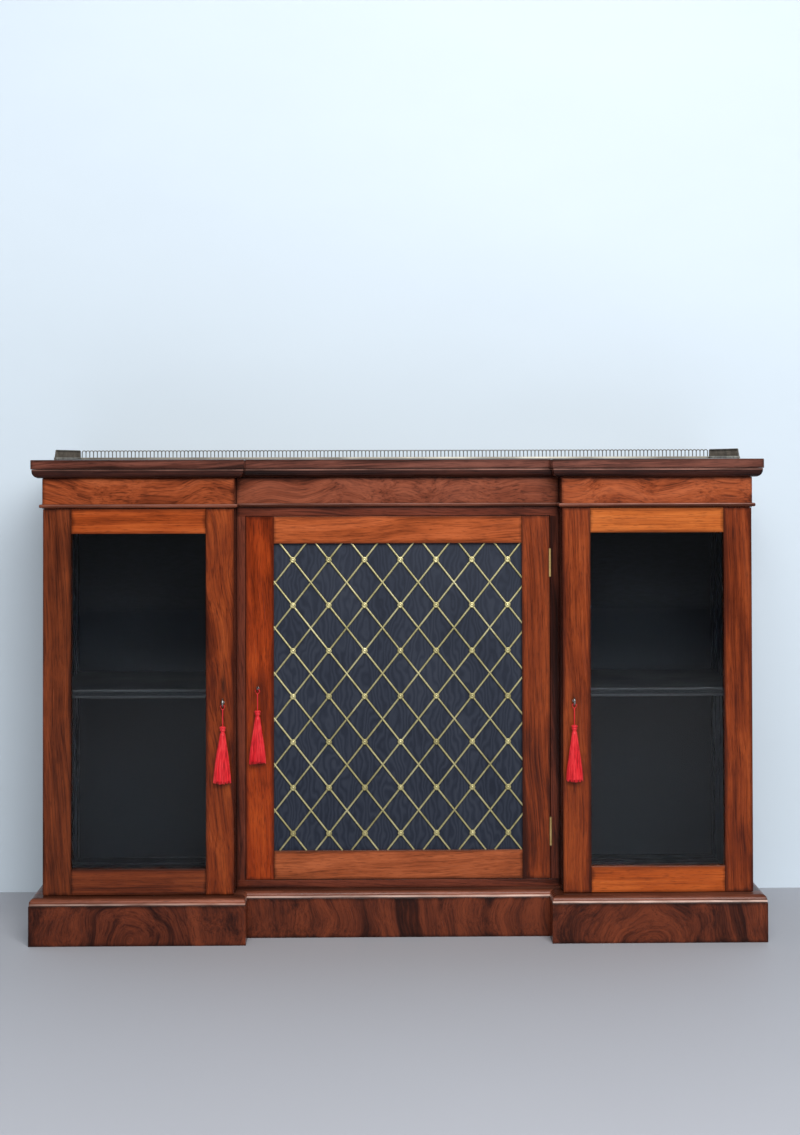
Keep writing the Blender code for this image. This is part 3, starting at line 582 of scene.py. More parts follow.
def lined(name, outside, part, seed):
    """Rosewood on the faces of a board that show from outside and a black lining within the case."""
    material = outside.copy()
    material.name = name
    tree = material.node_tree
    place = split_axes(tree)
    across = sums(tree, place["X"], 0.0, "ABSOLUTE")
    depth = place["Y"]
    if part == "side":
        inside = within(tree, (across, "LESS_THAN", SIDE_INNER), (depth, "GREATER_THAN", WING_BACK))
    elif part == "partition":
        inside = within(tree, (depth, "GREATER_THAN", CENTRE_FACE))
    elif part == "back":
        inside = within(tree, (depth, "LESS_THAN", BACK - BACK_SKIN))
    else:
        wings = within(tree, (across, "GREATER_THAN", WING_INNER), (depth, "GREATER_THAN", WING_BACK))
        inside = sums(tree, wings, within(tree, (depth, "GREATER_THAN", FRAME_BACK)), "MAXIMUM")
        inside = sums(tree, inside, within(tree, (across, "LESS_THAN", SIDE_INNER)), "MULTIPLY")
    strength = SIDE_LINING if part == "side" else 1.0
    grit = speckle(tree, spread(tree, (seed, 0, 0), (60, 60, 240)))
    lay_over(material, inside, ramp(tree, grit, [
        (0.3, times(LINING_DARK, strength)), (0.7, times(LINING_LIGHT, strength))]))
    return material


def painted_key_shade(finish, side, rise, reach, strength):
    """Darken an upright oval on a board's face by a keyhole: painted shade of the keyhole and its key."""
    tree = finish.node_tree
    wide, tall = reach
    key = KEY_AXIS[side]
    oval = spread(tree, (-key.x / wide, 0, -(key.z + rise) / tall), (1 / wide, 0, 1 / tall))
    away = add_node(tree, "VectorMath", {0: oval}, operation="LENGTH").outputs["Value"]
    ragged = sums(tree, speckle(tree, spread(tree, (5, 2, 8), (160, 160, 60)), 2.0), 0.9, "MULTIPLY")
    lay_over(finish, rescale(tree, sums(tree, away, ragged), 0.55, 1.35, strength, 0.0), KEY_SHADE_TINT)


def painted_reed_highlights(finish, node):
    """A painted highlight on a shelf's front edge, with two dark lines of painted shade along it."""
    tree = finish.node_tree
    low, high = box_of(node)
    place = split_axes(tree)
    front = sums(tree, place["Y"], low.y + REED_DEPTH, "LESS_THAN")
    for share in REED_SHADE_LINES:
        away = apart(tree, place["Z"], low.z + (high.z - low.z) * share)
        front = sums(tree, front, sums(tree, away, REED_HALF, "GREATER_THAN"), "MULTIPLY")
    lay_over(finish, front, REED_HIGHLIGHT)


def ebonised(name, seed):
    """Blacked wood with a soft navy cast and a fine horizontal tooth."""
    material, tree, shader = start_finish(name, Roughness=0.6, Specular_IOR_Level=0.15)
    tooth = speckle(tree, spread(tree, (seed, 2, 5), (12, 30, 90)), 2.0)
    cloud = speckle(tree, spread(tree, (seed, 1, 3), (4, 4, 4)))
    value = weigh(tree, (tooth, 0.5), (cloud, 0.5))
    colour = ramp(tree, value, [(0.32, (0.0042, 0.0058, 0.0085)), (0.68, (0.0105, 0.0135, 0.0175))])
    wire(tree, shader, colour, rescale(tree, cloud, 0.3, 0.7, 0.40, 0.60))
    raise_bump(tree, shader, tooth, 0.03, 0.0003)
    return material


def metal(name, tones, gloss, seed, purity=1.0):
    """Old metal: tarnish in soft clouds, small scratches and uneven polish."""
    material, tree, shader = start_finish(name, Metallic=purity, Roughness=gloss)
    cloud = speckle(tree, spread(tree, (seed, 0, 0), (22, 22, 22)), 4.0, 0.6)
    scratch = speckle(tree, spread(tree, (seed, 4, 0), (METAL_GRIT, METAL_GRIT, METAL_GRIT)), 3.0, 0.6)
    value = weigh(tree, (cloud, 0.65), (scratch, 0.35))
    colour = ramp(tree, value, list(zip(METAL_STOPS, tones)))
    wire(tree, shader, colour, rescale(tree, value, 0.3, 0.7, gloss + 0.14, gloss - 0.06))
    raise_bump(tree, shader, scratch, 0.06, 0.0002)
    return material


def moire_silk(name):
    """Navy watered silk: a fine rib across and rolling water lines that run up the panel."""
    material, tree, shader = start_finish(name, Roughness=0.6, Specular_IOR_Level=0.2)
    drawn = spread(tree, (3, 0, 1), (1.0, 1.0, 0.45))
    water = add_node(tree, "TexWave", {
        "Vector": drawn, "Scale": 27.0, "Distortion": 22.0, "Detail": 2.0, "Detail Scale": 0.9,
        "Detail Roughness": 0.6}, wave_type="BANDS", bands_direction="X").outputs["Fac"]
    cloud = speckle(tree, spread(tree, (1, 0, 7), (9, 9, 5)))
    rib = add_node(tree, "TexWave", {
        "Vector": spread(tree, (0, 0, 0), (1, 1, 1)), "Scale": 420.0, "Distortion": 0.6, "Detail": 1.0},
        wave_type="BANDS", bands_direction="Z").outputs["Fac"]
    colour = ramp(tree, weigh(tree, (water, 0.36), (cloud, 0.64)), [
        (0.25, (0.0100, 0.0140, 0.0260)), (0.50, (0.0165, 0.0220, 0.0380)),
        (0.75, (0.0270, 0.0330, 0.0500))])
    wire(tree, shader, colour, rescale(tree, water, 0.1, 0.9, 0.42, 0.66))
    raise_bump(tree, shader, rib, 0.10, 0.0002)
    return material


def red_silk(name, strand_scale):
    """Red floss: fine strands that run down, in uneven reds."""
    material, tree, shader = start_finish(
        name, Roughness=0.45, Specular_IOR_Level=0.25, Sheen_Weight=0.12, Sheen_Tint=(1.0, 0.5, 0.45, 1.0))
    strand = speckle(tree, spread(tree, (2, 5, 1), (strand_scale, strand_scale, 26)), 3.0, 0.6)
    cloud = speckle(tree, spread(tree, (7, 5, 3), (60, 60, 40)), 2.0)
    wire(tree, shader, ramp(tree, weigh(tree, (strand, 0.75), (cloud, 0.25)), [
        (0.34, (0.300, 0.003, 0.006)), (0.48, (0.640, 0.009, 0.018)), (0.64, (0.800, 0.050, 0.055))]))
    raise_bump(tree, shader, strand, 0.35, 0.0004)
    return material


def pane_glass(name):
    """Old clear glass with a faint blue cast and a thin uneven film."""
    material, tree, shader = start_finish(name, Transmission_Weight=1.0, IOR=1.24)
    slow = speckle(tree, spread(tree, (4, 0, 2), (5, 5, 3)), 2.0)
    colour = ramp(tree, slow, [(0.3, (0.86, 0.91, 0.93)), (0.7, (0.92, 0.95, 0.96))])
    wire(tree, shader, colour, rescale(tree, slow, 0.3, 0.7, 0.0, 0.004))
    return material


# Tones of rosewood: dark streak, body and light
TONES = {
    "stile": ((0.080, 0.0125, 0.0040), (0.185, 0.0300, 0.0062), (0.320, 0.0620, 0.0120)),
    "stile_dark": ((0.040, 0.0085, 0.0038), (0.110, 0.0220, 0.0065), (0.215, 0.0450, 0.0120)),
    "rail": ((0.240, 0.0400, 0.0070), (0.390, 0.0720, 0.0105), (0.510, 0.1120, 0.0190)),
    "rail_deep": ((0.190, 0.0310, 0.0066), (0.325, 0.0570, 0.0098), (0.440, 0.0930, 0.0178)),
    "rail_bright": ((0.300, 0.0620, 0.0110), (0.460, 0.1100, 0.0190), (0.600, 0.1700, 0.0340)),
    "rail_low": ((0.060, 0.0120, 0.0045), (0.130, 0.0255, 0.0080), (0.220, 0.0480, 0.0140)),
    "centre": ((0.150, 0.0185, 0.0030), (0.270, 0.0330, 0.0040), (0.400, 0.0600, 0.0075)),
    "centre_dark": ((0.080, 0.0135, 0.0040), (0.180, 0.0300, 0.0066), (0.300, 0.0560, 0.0120)),
    "centre_top": ((0.210, 0.0400, 0.0095), (0.370, 0.0780, 0.0190), (0.490, 0.1150, 0.0320)),
    "centre_low": ((0.150, 0.0330, 0.0100), (0.290, 0.0660, 0.0200), (0.410, 0.1050, 0.0360)),
    "frieze": ((0.130, 0.0240, 0.0075), (0.265, 0.0530, 0.0145), (0.400, 0.0920, 0.0270)),
    "frieze_low": ((0.084, 0.0200, 0.0096), (0.186, 0.0440, 0.0196), (0.290, 0.0760, 0.0345)),
    "plinth": ((0.038, 0.0092, 0.0056), (0.108, 0.0232, 0.0098), (0.187, 0.0405, 0.0152)),
    "moulding": ((0.010, 0.0036, 0.0028), (0.030, 0.0082, 0.0058), (0.066, 0.0176, 0.0104)),
    "cap": ((0.100, 0.0260, 0.0120), (0.200, 0.0560, 0.0290), (0.310, 0.1000, 0.0560)),
    "top": ((0.030, 0.0100, 0.0065), (0.105, 0.0310, 0.0200), (0.200, 0.0660, 0.0430)),
    "deal": ((0.110, 0.0580, 0.0280), (0.190, 0.1050, 0.0520), (0.270, 0.1600, 0.0850)),
    "jamb": ((0.036, 0.0084, 0.0050), (0.110, 0.0225, 0.0103), (0.178, 0.0405, 0.0192)),
}


def paint(node, finish):
    """Give a CAD node its finish."""
    NODES[node].material_slots[0].material = finish


# Eased corners of the boards and of the cornice
EASED = 0.0008
CORNICE_EASED = 0.0014


def ease_edges(node, width):
    """Take the sharpness off a board's corners."""
    board = NODES[node]
    weld = board.modifiers.new("weld", "WELD")
    weld.merge_threshold = 0.00001
    flat = board.modifiers.new("flat", "DECIMATE")
    flat.decimate_type = "DISSOLVE"
    flat.angle_limit = math.radians(1.0)
    bevel = board.modifiers.new("eased", "BEVEL")
    bevel.width = width
    bevel.segments = 2
    bevel.limit_method = "ANGLE"
    bevel.angle_limit = math.radians(35)


# Boards: node, grain, tones, cut
BOARDS = (
    ("top_board", "x", "top", "leaning"),
    ("cornice_board", "x", "moulding", "straight"),
    ("bead_moulding", "x", "cap", "straight"),
    ("base_board", "x", "cap", "straight"),
    ("plinth", "z", "plinth", "rolling"),
    ("frieze_left", "x", "frieze", "peaked"),
    ("frieze_centre", "x", "frieze_low", "peaked"),
    ("frieze_right", "x", "frieze", "peaked"),
    ("centre_face_frame", "z", "jamb", "leaning"),
    ("left_door_hinge_stile", "z", "stile_dark", "leaning"),
    ("left_door_lock_stile", "z", "stile", "mottled"),
    ("left_door_top_rail", "x", "rail_deep", "straight"),
    ("left_door_bottom_rail", "x", "rail_low", "straight"),
    ("right_door_hinge_stile", "z", "stile", "clouded"),
    ("right_door_lock_stile", "z", "stile", "clouded"),
    ("right_door_top_rail", "x", "rail_bright", "straight"),
    ("right_door_bottom_rail", "x", "rail", "straight"),
    ("centre_door_hinge_stile", "z", "centre_dark", "leaning"),
    ("centre_door_lock_stile", "z", "centre", "clouded"),
    ("centre_door_top_rail", "x", "centre_top", "clouded"),
    ("centre_door_bottom_rail", "x", "centre_low", "clouded"),
)


# Painted shade by the keyholes: door, rise above the key, reach across and up, strength
KEY_SHADES = {
    "left_door_lock_stile": ("left", 0.034, (0.0075, 0.044), 0.80),
    "centre_door_lock_stile": ("centre", 0.004, (0.010, 0.022), 0.45),
    "right_door_lock_stile": ("right", 0.004, (0.008, 0.022), 0.40),
}

# Painted highlight lines on mouldings: level, reach and tint
PAINTED_HIGHLIGHT_LINES = {
    "cornice_board": (0.9915, 0.0020, (0.40, 0.190, 0.140)),
    "bead_moulding": (0.9186, 0.0014, (0.40, 0.180, 0.135)),
    "base_board": (0.0864, 0.0028, (0.90, 0.640, 0.540)),
}


def finish_boards():
    """Woods for every board of the case and the doors."""
    for index, (node, along, tone, cut) in enumerate(BOARDS):
        finish = rosewood(f"rosewood_{node}", node, along, 40 + index, TONES[tone], cut)
        # A painted highlight line along the moulding
        if node in PAINTED_HIGHLIGHT_LINES:
            painted_highlight_line(finish, *PAINTED_HIGHLIGHT_LINES[node])
        # Painted shade by the keyhole
        if node in KEY_SHADES:
            painted_key_shade(finish, *KEY_SHADES[node])
        if node == "base_board":
            finish = lined("lined_base_board", finish, "base", 4)
        paint(node, finish)
        ease_edges(node, CORNICE_EASED if node == "cornice_board" else EASED)
    for part, first_seed, tone in (("side", 70, "stile"), ("partition", 80, "jamb")):
        for index, side in enumerate(("left", "right")):
            node = f"{part}_{side}"
            wood = rosewood(f"rosewood_{node}", node, "z", first_seed + index, TONES[tone], "leaning")
            paint(node, lined(f"lined_{node}", wood, part, index))
    deal = rosewood("stained_deal", "backboard", "z", 90, TONES["deal"], "straight", 0.6)
    paint("backboard", lined("lined_backboard", deal, "back", 6))
    for index, side in enumerate(SIDES):
        black = ebonised(f"black_shelf_{side}", 5 + index)
        # Painted highlight and shade on the shelf's reeded front edge
        painted_reed_highlights(black, f"shelf_{side}")
        paint(f"shelf_{side}", black)


finish_boards()

OLD_BRASS = metal(
    "old_brass", ((0.26, 0.165, 0.055), (0.50, 0.345, 0.125), (0.72, 0.54, 0.24)), 0.36, 3,
    purity=0.60)
GALLERY_BRASS = metal(
    "gallery_brass", ((0.048, 0.040, 0.031), (0.100, 0.084, 0.066), (0.18, 0.154, 0.120)), 0.50, 8,
    purity=0.50)
# A painted highlight along the gallery's foot rail
painted_highlight_line(GALLERY_BRASS, TOP_TOP + 0.0030, 0.0036, (0.66, 0.63, 0.54))
TRELLIS_BRASS = metal(
    "trellis_brass", ((0.27, 0.238, 0.104), (0.46, 0.411, 0.197), (0.69, 0.636, 0.367)), 0.34, 6,
    purity=0.70)
DARK_STEEL = metal("dark_steel", ((0.16, 0.155, 0.15), (0.42, 0.41, 0.39), (0.80, 0.79, 0.77)), 0.20, 11)
CLEAR_GLASS = pane_glass("clear_glass")
NAVY_SILK = moire_silk("navy_moire_silk")
TASSEL_SILK = red_silk("red_floss", 420.0)
CORD_SILK = red_silk("red_cord", 1400.0)


def finish_fittings():
    """Brass hinges and locks, steel bolts and the panes."""
    for side in SIDES:
        for end in ("upper", "lower"):
            for leaf in ("fixed", "door"):
                paint(f"{side}_door_{end}_hinge_{leaf}_leaf", OLD_BRASS)
        paint(f"{side}_door_lock_case", OLD_BRASS)
        paint(f"{side}_door_bolt", DARK_STEEL)
    for side in ("left", "right"):
        paint(f"{side}_door_glass", CLEAR_GLASS)


finish_fittings()


# Tassels

# Loop, cord and skirt: sizes in metres, points on a line, strands in a lock and shares of a length
LOOP_OVER = 0.00145
LOOP_WIRE = 0.0008
LOOP_PINCH = 0.72
CORD_POINTS = 24
SKIRT_TOP = 0.0046
STRAND_WIDTH = 0.0021
STRAND_POINTS = 9
LOCK_STRANDS = 5
GATHERED = 0.15
CORE_STEPS = 8
CORE_SHARE = 0.93

# Layers of the skirt from outside in: strands and share of the radius
SKIRT_LAYERS = ((62, 1.0), (40, 0.72), (18, 0.36))

# Head of a tassel: radius and drop from its top
HEAD_PROFILE = (
    (0.0016, -0.0002), (0.0048, 0.0004), (0.0066, 0.0016), (0.0070, 0.0030), (0.0064, 0.0044),
    (0.0050, 0.0054), (0.0049, 0.0060), (0.0058, 0.0068), (0.0060, 0.0080), (0.0054, 0.0092),
    (0.0043, 0.0102), (0.0040, 0.0120), (0.0042, 0.0138), (0.0048, 0.0162), (0.0060, 0.0190),
)


def new_curve(name, thickness, roundness):
    """A piece made of round lines, still without any line."""
    curve = bpy.data.curves.new(name, "CURVE")
    curve.dimensions = "3D"
    curve.bevel_depth = thickness / 2
    curve.bevel_resolution = roundness
    curve.use_fill_caps = True
    piece = bpy.data.objects.new(name, curve)
    SCENE.collection.objects.link(piece)
    return piece


def new_line(piece, points):
    """Add a line of so many points to a piece made of lines."""
    line = piece.data.splines.new("POLY")
    line.points.add(points - 1)
    return line.points


def tassel_cord(side, top):
    """The cord from the loop down through the head into the skirt, one line that hangs straight."""
    cord = new_curve(f"{side}_tassel_cord", CORD_WIDTH, 3)
    whole = CORD_LENGTH + CORD_INSIDE
    for index, point in enumerate(new_line(cord, CORD_POINTS)):
        point.co = (top.x, top.y, top.z - whole * index / (CORD_POINTS - 1), 1)
    return cord, whole


def tassel_loop(side, bottom):
    """The loop of cord through the key's bow, drawn in to a point where it meets the hanging cord."""
    radius = LOOP_DROP * 0.5 + LOOP_OVER
    bpy.ops.mesh.primitive_torus_add(
        major_segments=24, minor_segments=8, major_radius=radius, minor_radius=LOOP_WIRE,
        location=(bottom.x, bottom.y, bottom.z + radius), rotation=(math.pi / 2, 0, 0))
    loop = settled_piece(f"{side}_tassel_loop")
    choose(loop, lambda place: place.z < bottom.z + radius, "VERT")
    bpy.ops.transform.resize(value=(LOOP_PINCH, 1, 1), center_override=bottom)
    close_edit()
    smooth(loop, 80)
    return loop


def tassel_head(side, bottom):
    """The bound head: a rounded knob, a waist of binding and the neck above the skirt."""
    profile = [(radius, bottom.z - drop) for radius, drop in HEAD_PROFILE]
    return turned(f"{side}_tassel_head", bottom, profile, 20, 0.80)


def skirt_spread(share):
    """Radius of the skirt at a share of its length."""
    swell = math.sin(share * math.pi / 2)
    return SKIRT_TOP + (SKIRT_RADIUS - SKIRT_TOP) * (0.62 * swell + 0.38 * share ** 1.6)


def tassel_skirt(side, top, length, seed):
    """The floss skirt: many fine strands over a soft core, with an uneven hem."""
    chance = random.Random(seed)
    skirt = new_curve(f"{side}_tassel_skirt", STRAND_WIDTH, 1)
    for count, inner in SKIRT_LAYERS:
        for index in range(count):
            in_lock = index % LOCK_STRANDS
            if in_lock == 0:
                lock_reach = chance.uniform(0.84, 1.06)
                lock_drop = chance.uniform(0.955, 1.0)
            turn = 2 * math.pi * (index + 0.3 * (2 - in_lock) + chance.uniform(-0.3, 0.3)) / count
            reach = inner * lock_reach * chance.uniform(0.95, 1.03)
            drop = length * lock_drop * chance.uniform(0.975, 1.0)
            sway = chance.uniform(-0.10, 0.10)
            ripple = chance.uniform(0.0002, 0.0007)
            phase = chance.uniform(0, 2 * math.pi)
            for step, point in enumerate(new_line(skirt, STRAND_POINTS)):
                share = step / (STRAND_POINTS - 1)
                pull = reach if share > GATHERED else inner + (reach - inner) * share / GATHERED
                radius = skirt_spread(share) * pull + ripple * math.sin(phase + share * 9) * share
                angle = turn + sway * share
                point.co = (
                    top.x + radius * math.cos(angle), top.y + radius * math.sin(angle) * TASSEL_FLAT,
                    top.z - drop * share, 1)
                point.radius = 0.75 + 0.35 * math.sin(share * math.pi) if share < 0.97 else 0.55
    pick(skirt)
    bpy.ops.object.convert(target="MESH")
    core_profile = [
        (skirt_spread(step / CORE_STEPS) * CORE_SHARE, top.z - length * CORE_SHARE * step / CORE_STEPS)
        for step in range(CORE_STEPS + 1)]
    core = turned(f"{side}_tassel_core", top, core_profile, 24, TASSEL_FLAT)
    skirt = join(f"{side}_tassel_skirt", [skirt, core])
    clean(skirt)
    smooth(skirt, 70)
    return skirt


def hang_point(side):
    """The middle of the bow's wire at its lowest point, which carries the tassel's loop."""
    return KEY_AXIS[side] - Vector((0, BOW_STAND_OFF, BOW_HEIGHT[side] / 2 - BOW_WIRE))


def make_tassels():
    """Three red silk tassels, each hung from its key."""
    for index, side in enumerate(SIDES):
        body = f"{side}_tassel"
        node = f"{side}_door_tassel"
        top = hang_point(side) - Vector((0, 0, LOOP_DROP))
        cord, whole = tassel_cord(side, top)
        head_top = top - Vector((0, 0, CORD_LENGTH))
        loop = tassel_loop(side, top)
        head = tassel_head(side, head_top)
        skirt_top = head_top - Vector((0, 0, HEAD_HEIGHT + NECK_HEIGHT))
        skirt = tassel_skirt(side, skirt_top, SKIRT_LENGTH[side], 90 + index)
        for piece in (cord, loop, head):
            dress(piece, body, "red_silk", CORD_SILK, node)
        dress(skirt, body, "red_silk", TASSEL_SILK, node)


make_tassels()


# Keys

SHANK_RADIUS = 0.0020
SHANK_END = 0.0312
BIT_LOW = Vector((-0.0009, SHANK_END - 0.0060, -0.0062))
BIT_HIGH = Vector((0.0009, SHANK_END - 0.0005, 0))

# Collar between bow and shank: radius and place along the shank
COLLAR_PROFILE = (
    (0.0015, -0.0006), (SHANK_RADIUS, 0.0), (SHANK_RADIUS, 0.0012), (0.0030, 0.0014),
    (0.0032, 0.0022), (0.0030, 0.0030), (SHANK_RADIUS, 0.0033),
)


def make_key(side):
    """A cabinet key: an oval ring bow, a collared round shank and a flat bit."""
    axis = KEY_AXIS[side]
    middle = axis - Vector((0, BOW_STAND_OFF, 0))
    radius = BOW_LENGTH / 2 - BOW_WIRE
    bpy.ops.mesh.primitive_torus_add(
        major_segments=32, minor_segments=12, major_radius=radius, minor_radius=BOW_WIRE,
        location=middle, rotation=(0, math.pi / 2, 0))
    bow = settled_piece(f"{side}_key_bow")
    rise = (BOW_HEIGHT[side] - BOW_LENGTH) / 2
    for sign in (1, -1):
        choose(bow, lambda place: (place.z - middle.z) * sign > radius * 0.3, "VERT")
        bpy.ops.transform.translate(value=(0, 0, sign * rise))
        close_edit()
    if abs(rise) > 0.001:
        apply_modifier(bow, "SMOOTH", factor=0.5, iterations=4)
    start = -BOW_STAND_OFF + radius
    profile = [(wide, start + along) for wide, along in COLLAR_PROFILE]
    profile += [(SHANK_RADIUS, SHANK_END - 0.0004), (SHANK_RADIUS - 0.0005, SHANK_END)]
    shank = turned(f"{side}_key_shank", (0, 0, 0), profile, 20)
    shank.rotation_euler = (-math.pi / 2, 0, 0)
    shank.location = axis
    settle(shank)
    bit = block(f"{side}_key_bit", axis + BIT_LOW, axis + BIT_HIGH, 0.0002)
    key = join(f"{side}_key_steel", [bow, shank, bit])
    smooth(key, 45)
    dress(key, f"{side}_key", "steel", DARK_STEEL, f"{side}_door_key")


for side in SIDES:
    make_key(side)


# Trellis

TRELLIS_LOW = Vector((-0.2656, 0, 0.1783))
TRELLIS_HIGH = Vector((0.2656, 0, 0.8334))
TRELLIS_COUNT = 7
TRELLIS_MIDDLE = Vector((0.0050, 0, 0.50585))
ROSETTES_WIDE = 0.4604
ROSETTES_TALL = 0.5844
TRELLIS_PITCH = Vector((ROSETTES_WIDE / (TRELLIS_COUNT - 1), 0, ROSETTES_TALL / (TRELLIS_COUNT - 1)))
TRELLIS_BACK = -0.1097
BAR_WIDTH = 0.0040
BAR_DEPTH = 0.0019
BAR_LIFT = 0.0009
BAR_LENGTH = 1.9
BAR_LAP = 0.004
ROSETTE_RADIUS = 0.0064
ROSETTE_HEIGHT = 0.0030
ROSETTE_SEAT = 0.0014

# Rosette: radius and level from its seat
ROSETTE_PROFILE = (
    (ROSETTE_RADIUS, 0.0), (ROSETTE_RADIUS, ROSETTE_HEIGHT - 0.0010),
    (ROSETTE_RADIUS - 0.0007, ROSETTE_HEIGHT - 0.0002), (ROSETTE_RADIUS - 0.0016, ROSETTE_HEIGHT),
    (ROSETTE_RADIUS - 0.0023, ROSETTE_HEIGHT - 0.0012), (0.0026, ROSETTE_HEIGHT - 0.0014),
    (0.0021, ROSETTE_HEIGHT - 0.0002), (0.0010, ROSETTE_HEIGHT + 0.0002), (0.0003, ROSETTE_HEIGHT + 0.0002),
)


def trellis_bars(name, lean, front):
    """One set of parallel bars: a half round bar, repeated across the door and cut to the opening."""
    middle = TRELLIS_MIDDLE
    slope = math.atan2(TRELLIS_PITCH.z, TRELLIS_PITCH.x)
    bpy.ops.mesh.primitive_cube_add(size=1, location=(middle.x, front + BAR_DEPTH / 2, middle.z))
    bars = settled_piece(name, (BAR_LENGTH, BAR_DEPTH, BAR_WIDTH))
    choose(bars, lambda place, run: place.y < front + BAR_DEPTH * 0.2 and abs(run.x) > 0.5, "EDGE")
    bpy.ops.mesh.bevel(offset=BAR_WIDTH * 0.34, segments=3, profile=0.5, affect="EDGES")
    close_edit()
    bars.data.transform(
        Matrix.Translation((middle.x, 0, middle.z)) @ Matrix.Rotation(-lean * slope, 4, "Y")
        @ Matrix.Translation((-middle.x, 0, -middle.z)))
    reach = TRELLIS_COUNT - 1
    bars.data.transform(Matrix.Translation((-reach * TRELLIS_PITCH.x, 0, 0)))
    repeat(bars, 2 * reach + 1, (TRELLIS_PITCH.x, 0, 0))
    for point, out in (
            ((TRELLIS_LOW.x - BAR_LAP, 0, 0), (-1, 0, 0)), ((TRELLIS_HIGH.x + BAR_LAP, 0, 0), (1, 0, 0)),
            ((0, 0, TRELLIS_LOW.z - BAR_LAP), (0, 0, -1)), ((0, 0, TRELLIS_HIGH.z + BAR_LAP), (0, 0, 1))):
        open_all(bars)
        bpy.ops.mesh.bisect(plane_co=point, plane_no=out, use_fill=True, clear_outer=True)
        close_edit()
    clean(bars)
    smooth(bars, 50)
    return bars


def trellis_rosettes():
    """Turned rosettes with a raised rim and a small boss, one on every pinned meeting of two bars."""
    half = (TRELLIS_COUNT - 1) / 2
    middle = TRELLIS_MIDDLE
    rosette = turned("centre_door_rosettes", (0, 0, 0), ROSETTE_PROFILE, 14)
    rosette.rotation_euler = (math.pi / 2, 0, 0)
    rosette.location = (
        middle.x - half * TRELLIS_PITCH.x, TRELLIS_BACK - ROSETTE_SEAT, middle.z - half * TRELLIS_PITCH.z)
    settle(rosette)
    for travel in ((TRELLIS_PITCH.x, 0, 0), (0, 0, TRELLIS_PITCH.z)):
        repeat(rosette, TRELLIS_COUNT, travel)
    smooth(rosette, 35)
    return rosette


def make_trellis():
    """The brass trellis over the silk."""
    under = trellis_bars("centre_door_rising_bars", 1, TRELLIS_BACK - BAR_DEPTH)
    over = trellis_bars("centre_door_falling_bars", -1, TRELLIS_BACK - BAR_DEPTH - BAR_LIFT)
    for piece in (under, over, trellis_rosettes()):
        dress(piece, "centre_door", "gilt_brass", TRELLIS_BRASS, "centre_door_trellis")


make_trellis()


# Silk panel

SILK_FRONT = -0.1087
SILK_BOARD = SILK_FRONT + 0.0016
SILK_BACK = -0.1057
SILK_LAP = 0.005
SILK_CLOTH = 0.0005
SILK_SLACK = 0.0007


def make_silk():
    """Moire silk drawn over a thin board behind the trellis."""
    low = TRELLIS_LOW - Vector((SILK_LAP, 0, SILK_LAP))
    high = TRELLIS_HIGH + Vector((SILK_LAP, 0, SILK_LAP))
    middle = (low + high) / 2
    size = high - low
    bpy.ops.mesh.primitive_grid_add(
        x_subdivisions=72, y_subdivisions=90, size=1,
        location=(middle.x, SILK_FRONT + SILK_CLOTH, middle.z), rotation=(math.pi / 2, 0, 0))
    silk = settled_piece("centre_door_silk", (size.x, size.z, 1))
    slack = bpy.data.textures.new("silk_slack", "CLOUDS")
    slack.noise_scale = 0.11
    slack.noise_depth = 1
    apply_modifier(
        silk, "DISPLACE", texture=slack, texture_coords="LOCAL", strength=SILK_SLACK, mid_level=0.5)
    apply_modifier(silk, "SOLIDIFY", thickness=SILK_CLOTH, offset=-1.0)
    smooth(silk, 60)
    board = block(
        "centre_door_silk_board", (low.x, SILK_BOARD, low.z), (high.x, SILK_BACK, high.z), 0.0004)
    dress(silk, "centre_door", "moire_silk", NAVY_SILK, "centre_door_silk_panel")
    dress(board, "centre_door", "moire_silk", ebonised("silk_board", 21), "centre_door_silk_panel")


make_silk()


# Gallery

GALLERY_HEIGHT = 0.0220
GALLERY_RAIL = 0.0052
GALLERY_PITCH = 0.0087
GALLERY_WIRE = 0.0011
GALLERY_HALF = 0.7270
GALLERY_BACK = 0.1895
GALLERY_FRONT = -0.1595
HOOP_SUNK = 0.001
RAIL_HALF = 0.0017
RAIL_FOOT = 0.0003
RAIL_ROUND = 0.0007
RETURN_INSET = 0.0012
END_PLATE = 0.0020


def hoop_run(name, count, length, first, swept):
    """A hooped gallery along +X from the origin: one arch, repeated, on a rounded foot rail."""
    spring = GALLERY_HEIGHT - GALLERY_PITCH / 2 - GALLERY_WIRE
    bpy.ops.mesh.primitive_circle_add(
        vertices=6, radius=GALLERY_WIRE, location=(first, 0, GALLERY_RAIL - HOOP_SUNK))
    hoops = settled_piece(name)
    open_all(hoops)
    rise = spring - GALLERY_RAIL + HOOP_SUNK
    bpy.ops.mesh.extrude_region_move(TRANSFORM_OT_translate={"value": (0, 0, rise)})
    bpy.ops.mesh.spin(
        steps=6, angle=-math.pi, center=(first + GALLERY_PITCH / 2, 0, spring), axis=(0, 1, 0), dupli=False)
    close_edit()
    repeat(hoops, count, (GALLERY_PITCH, 0, 0))
    clean(hoops)
    last = first + count * GALLERY_PITCH
    bpy.ops.mesh.primitive_cylinder_add(
        vertices=6, radius=GALLERY_WIRE, depth=spring, location=(last, 0, spring / 2 + GALLERY_RAIL / 2))
    post = settled_piece(f"{name}_post")
    rail = block(f"{name}_rail", (0, -RAIL_HALF, RAIL_FOOT), (length, RAIL_HALF, GALLERY_RAIL), RAIL_ROUND)
    parts = [hoops, post, rail]
    if swept:
        parts.append(swept_end(name, first))
    gallery = join(name, parts)
    smooth(gallery, 50)
    return gallery


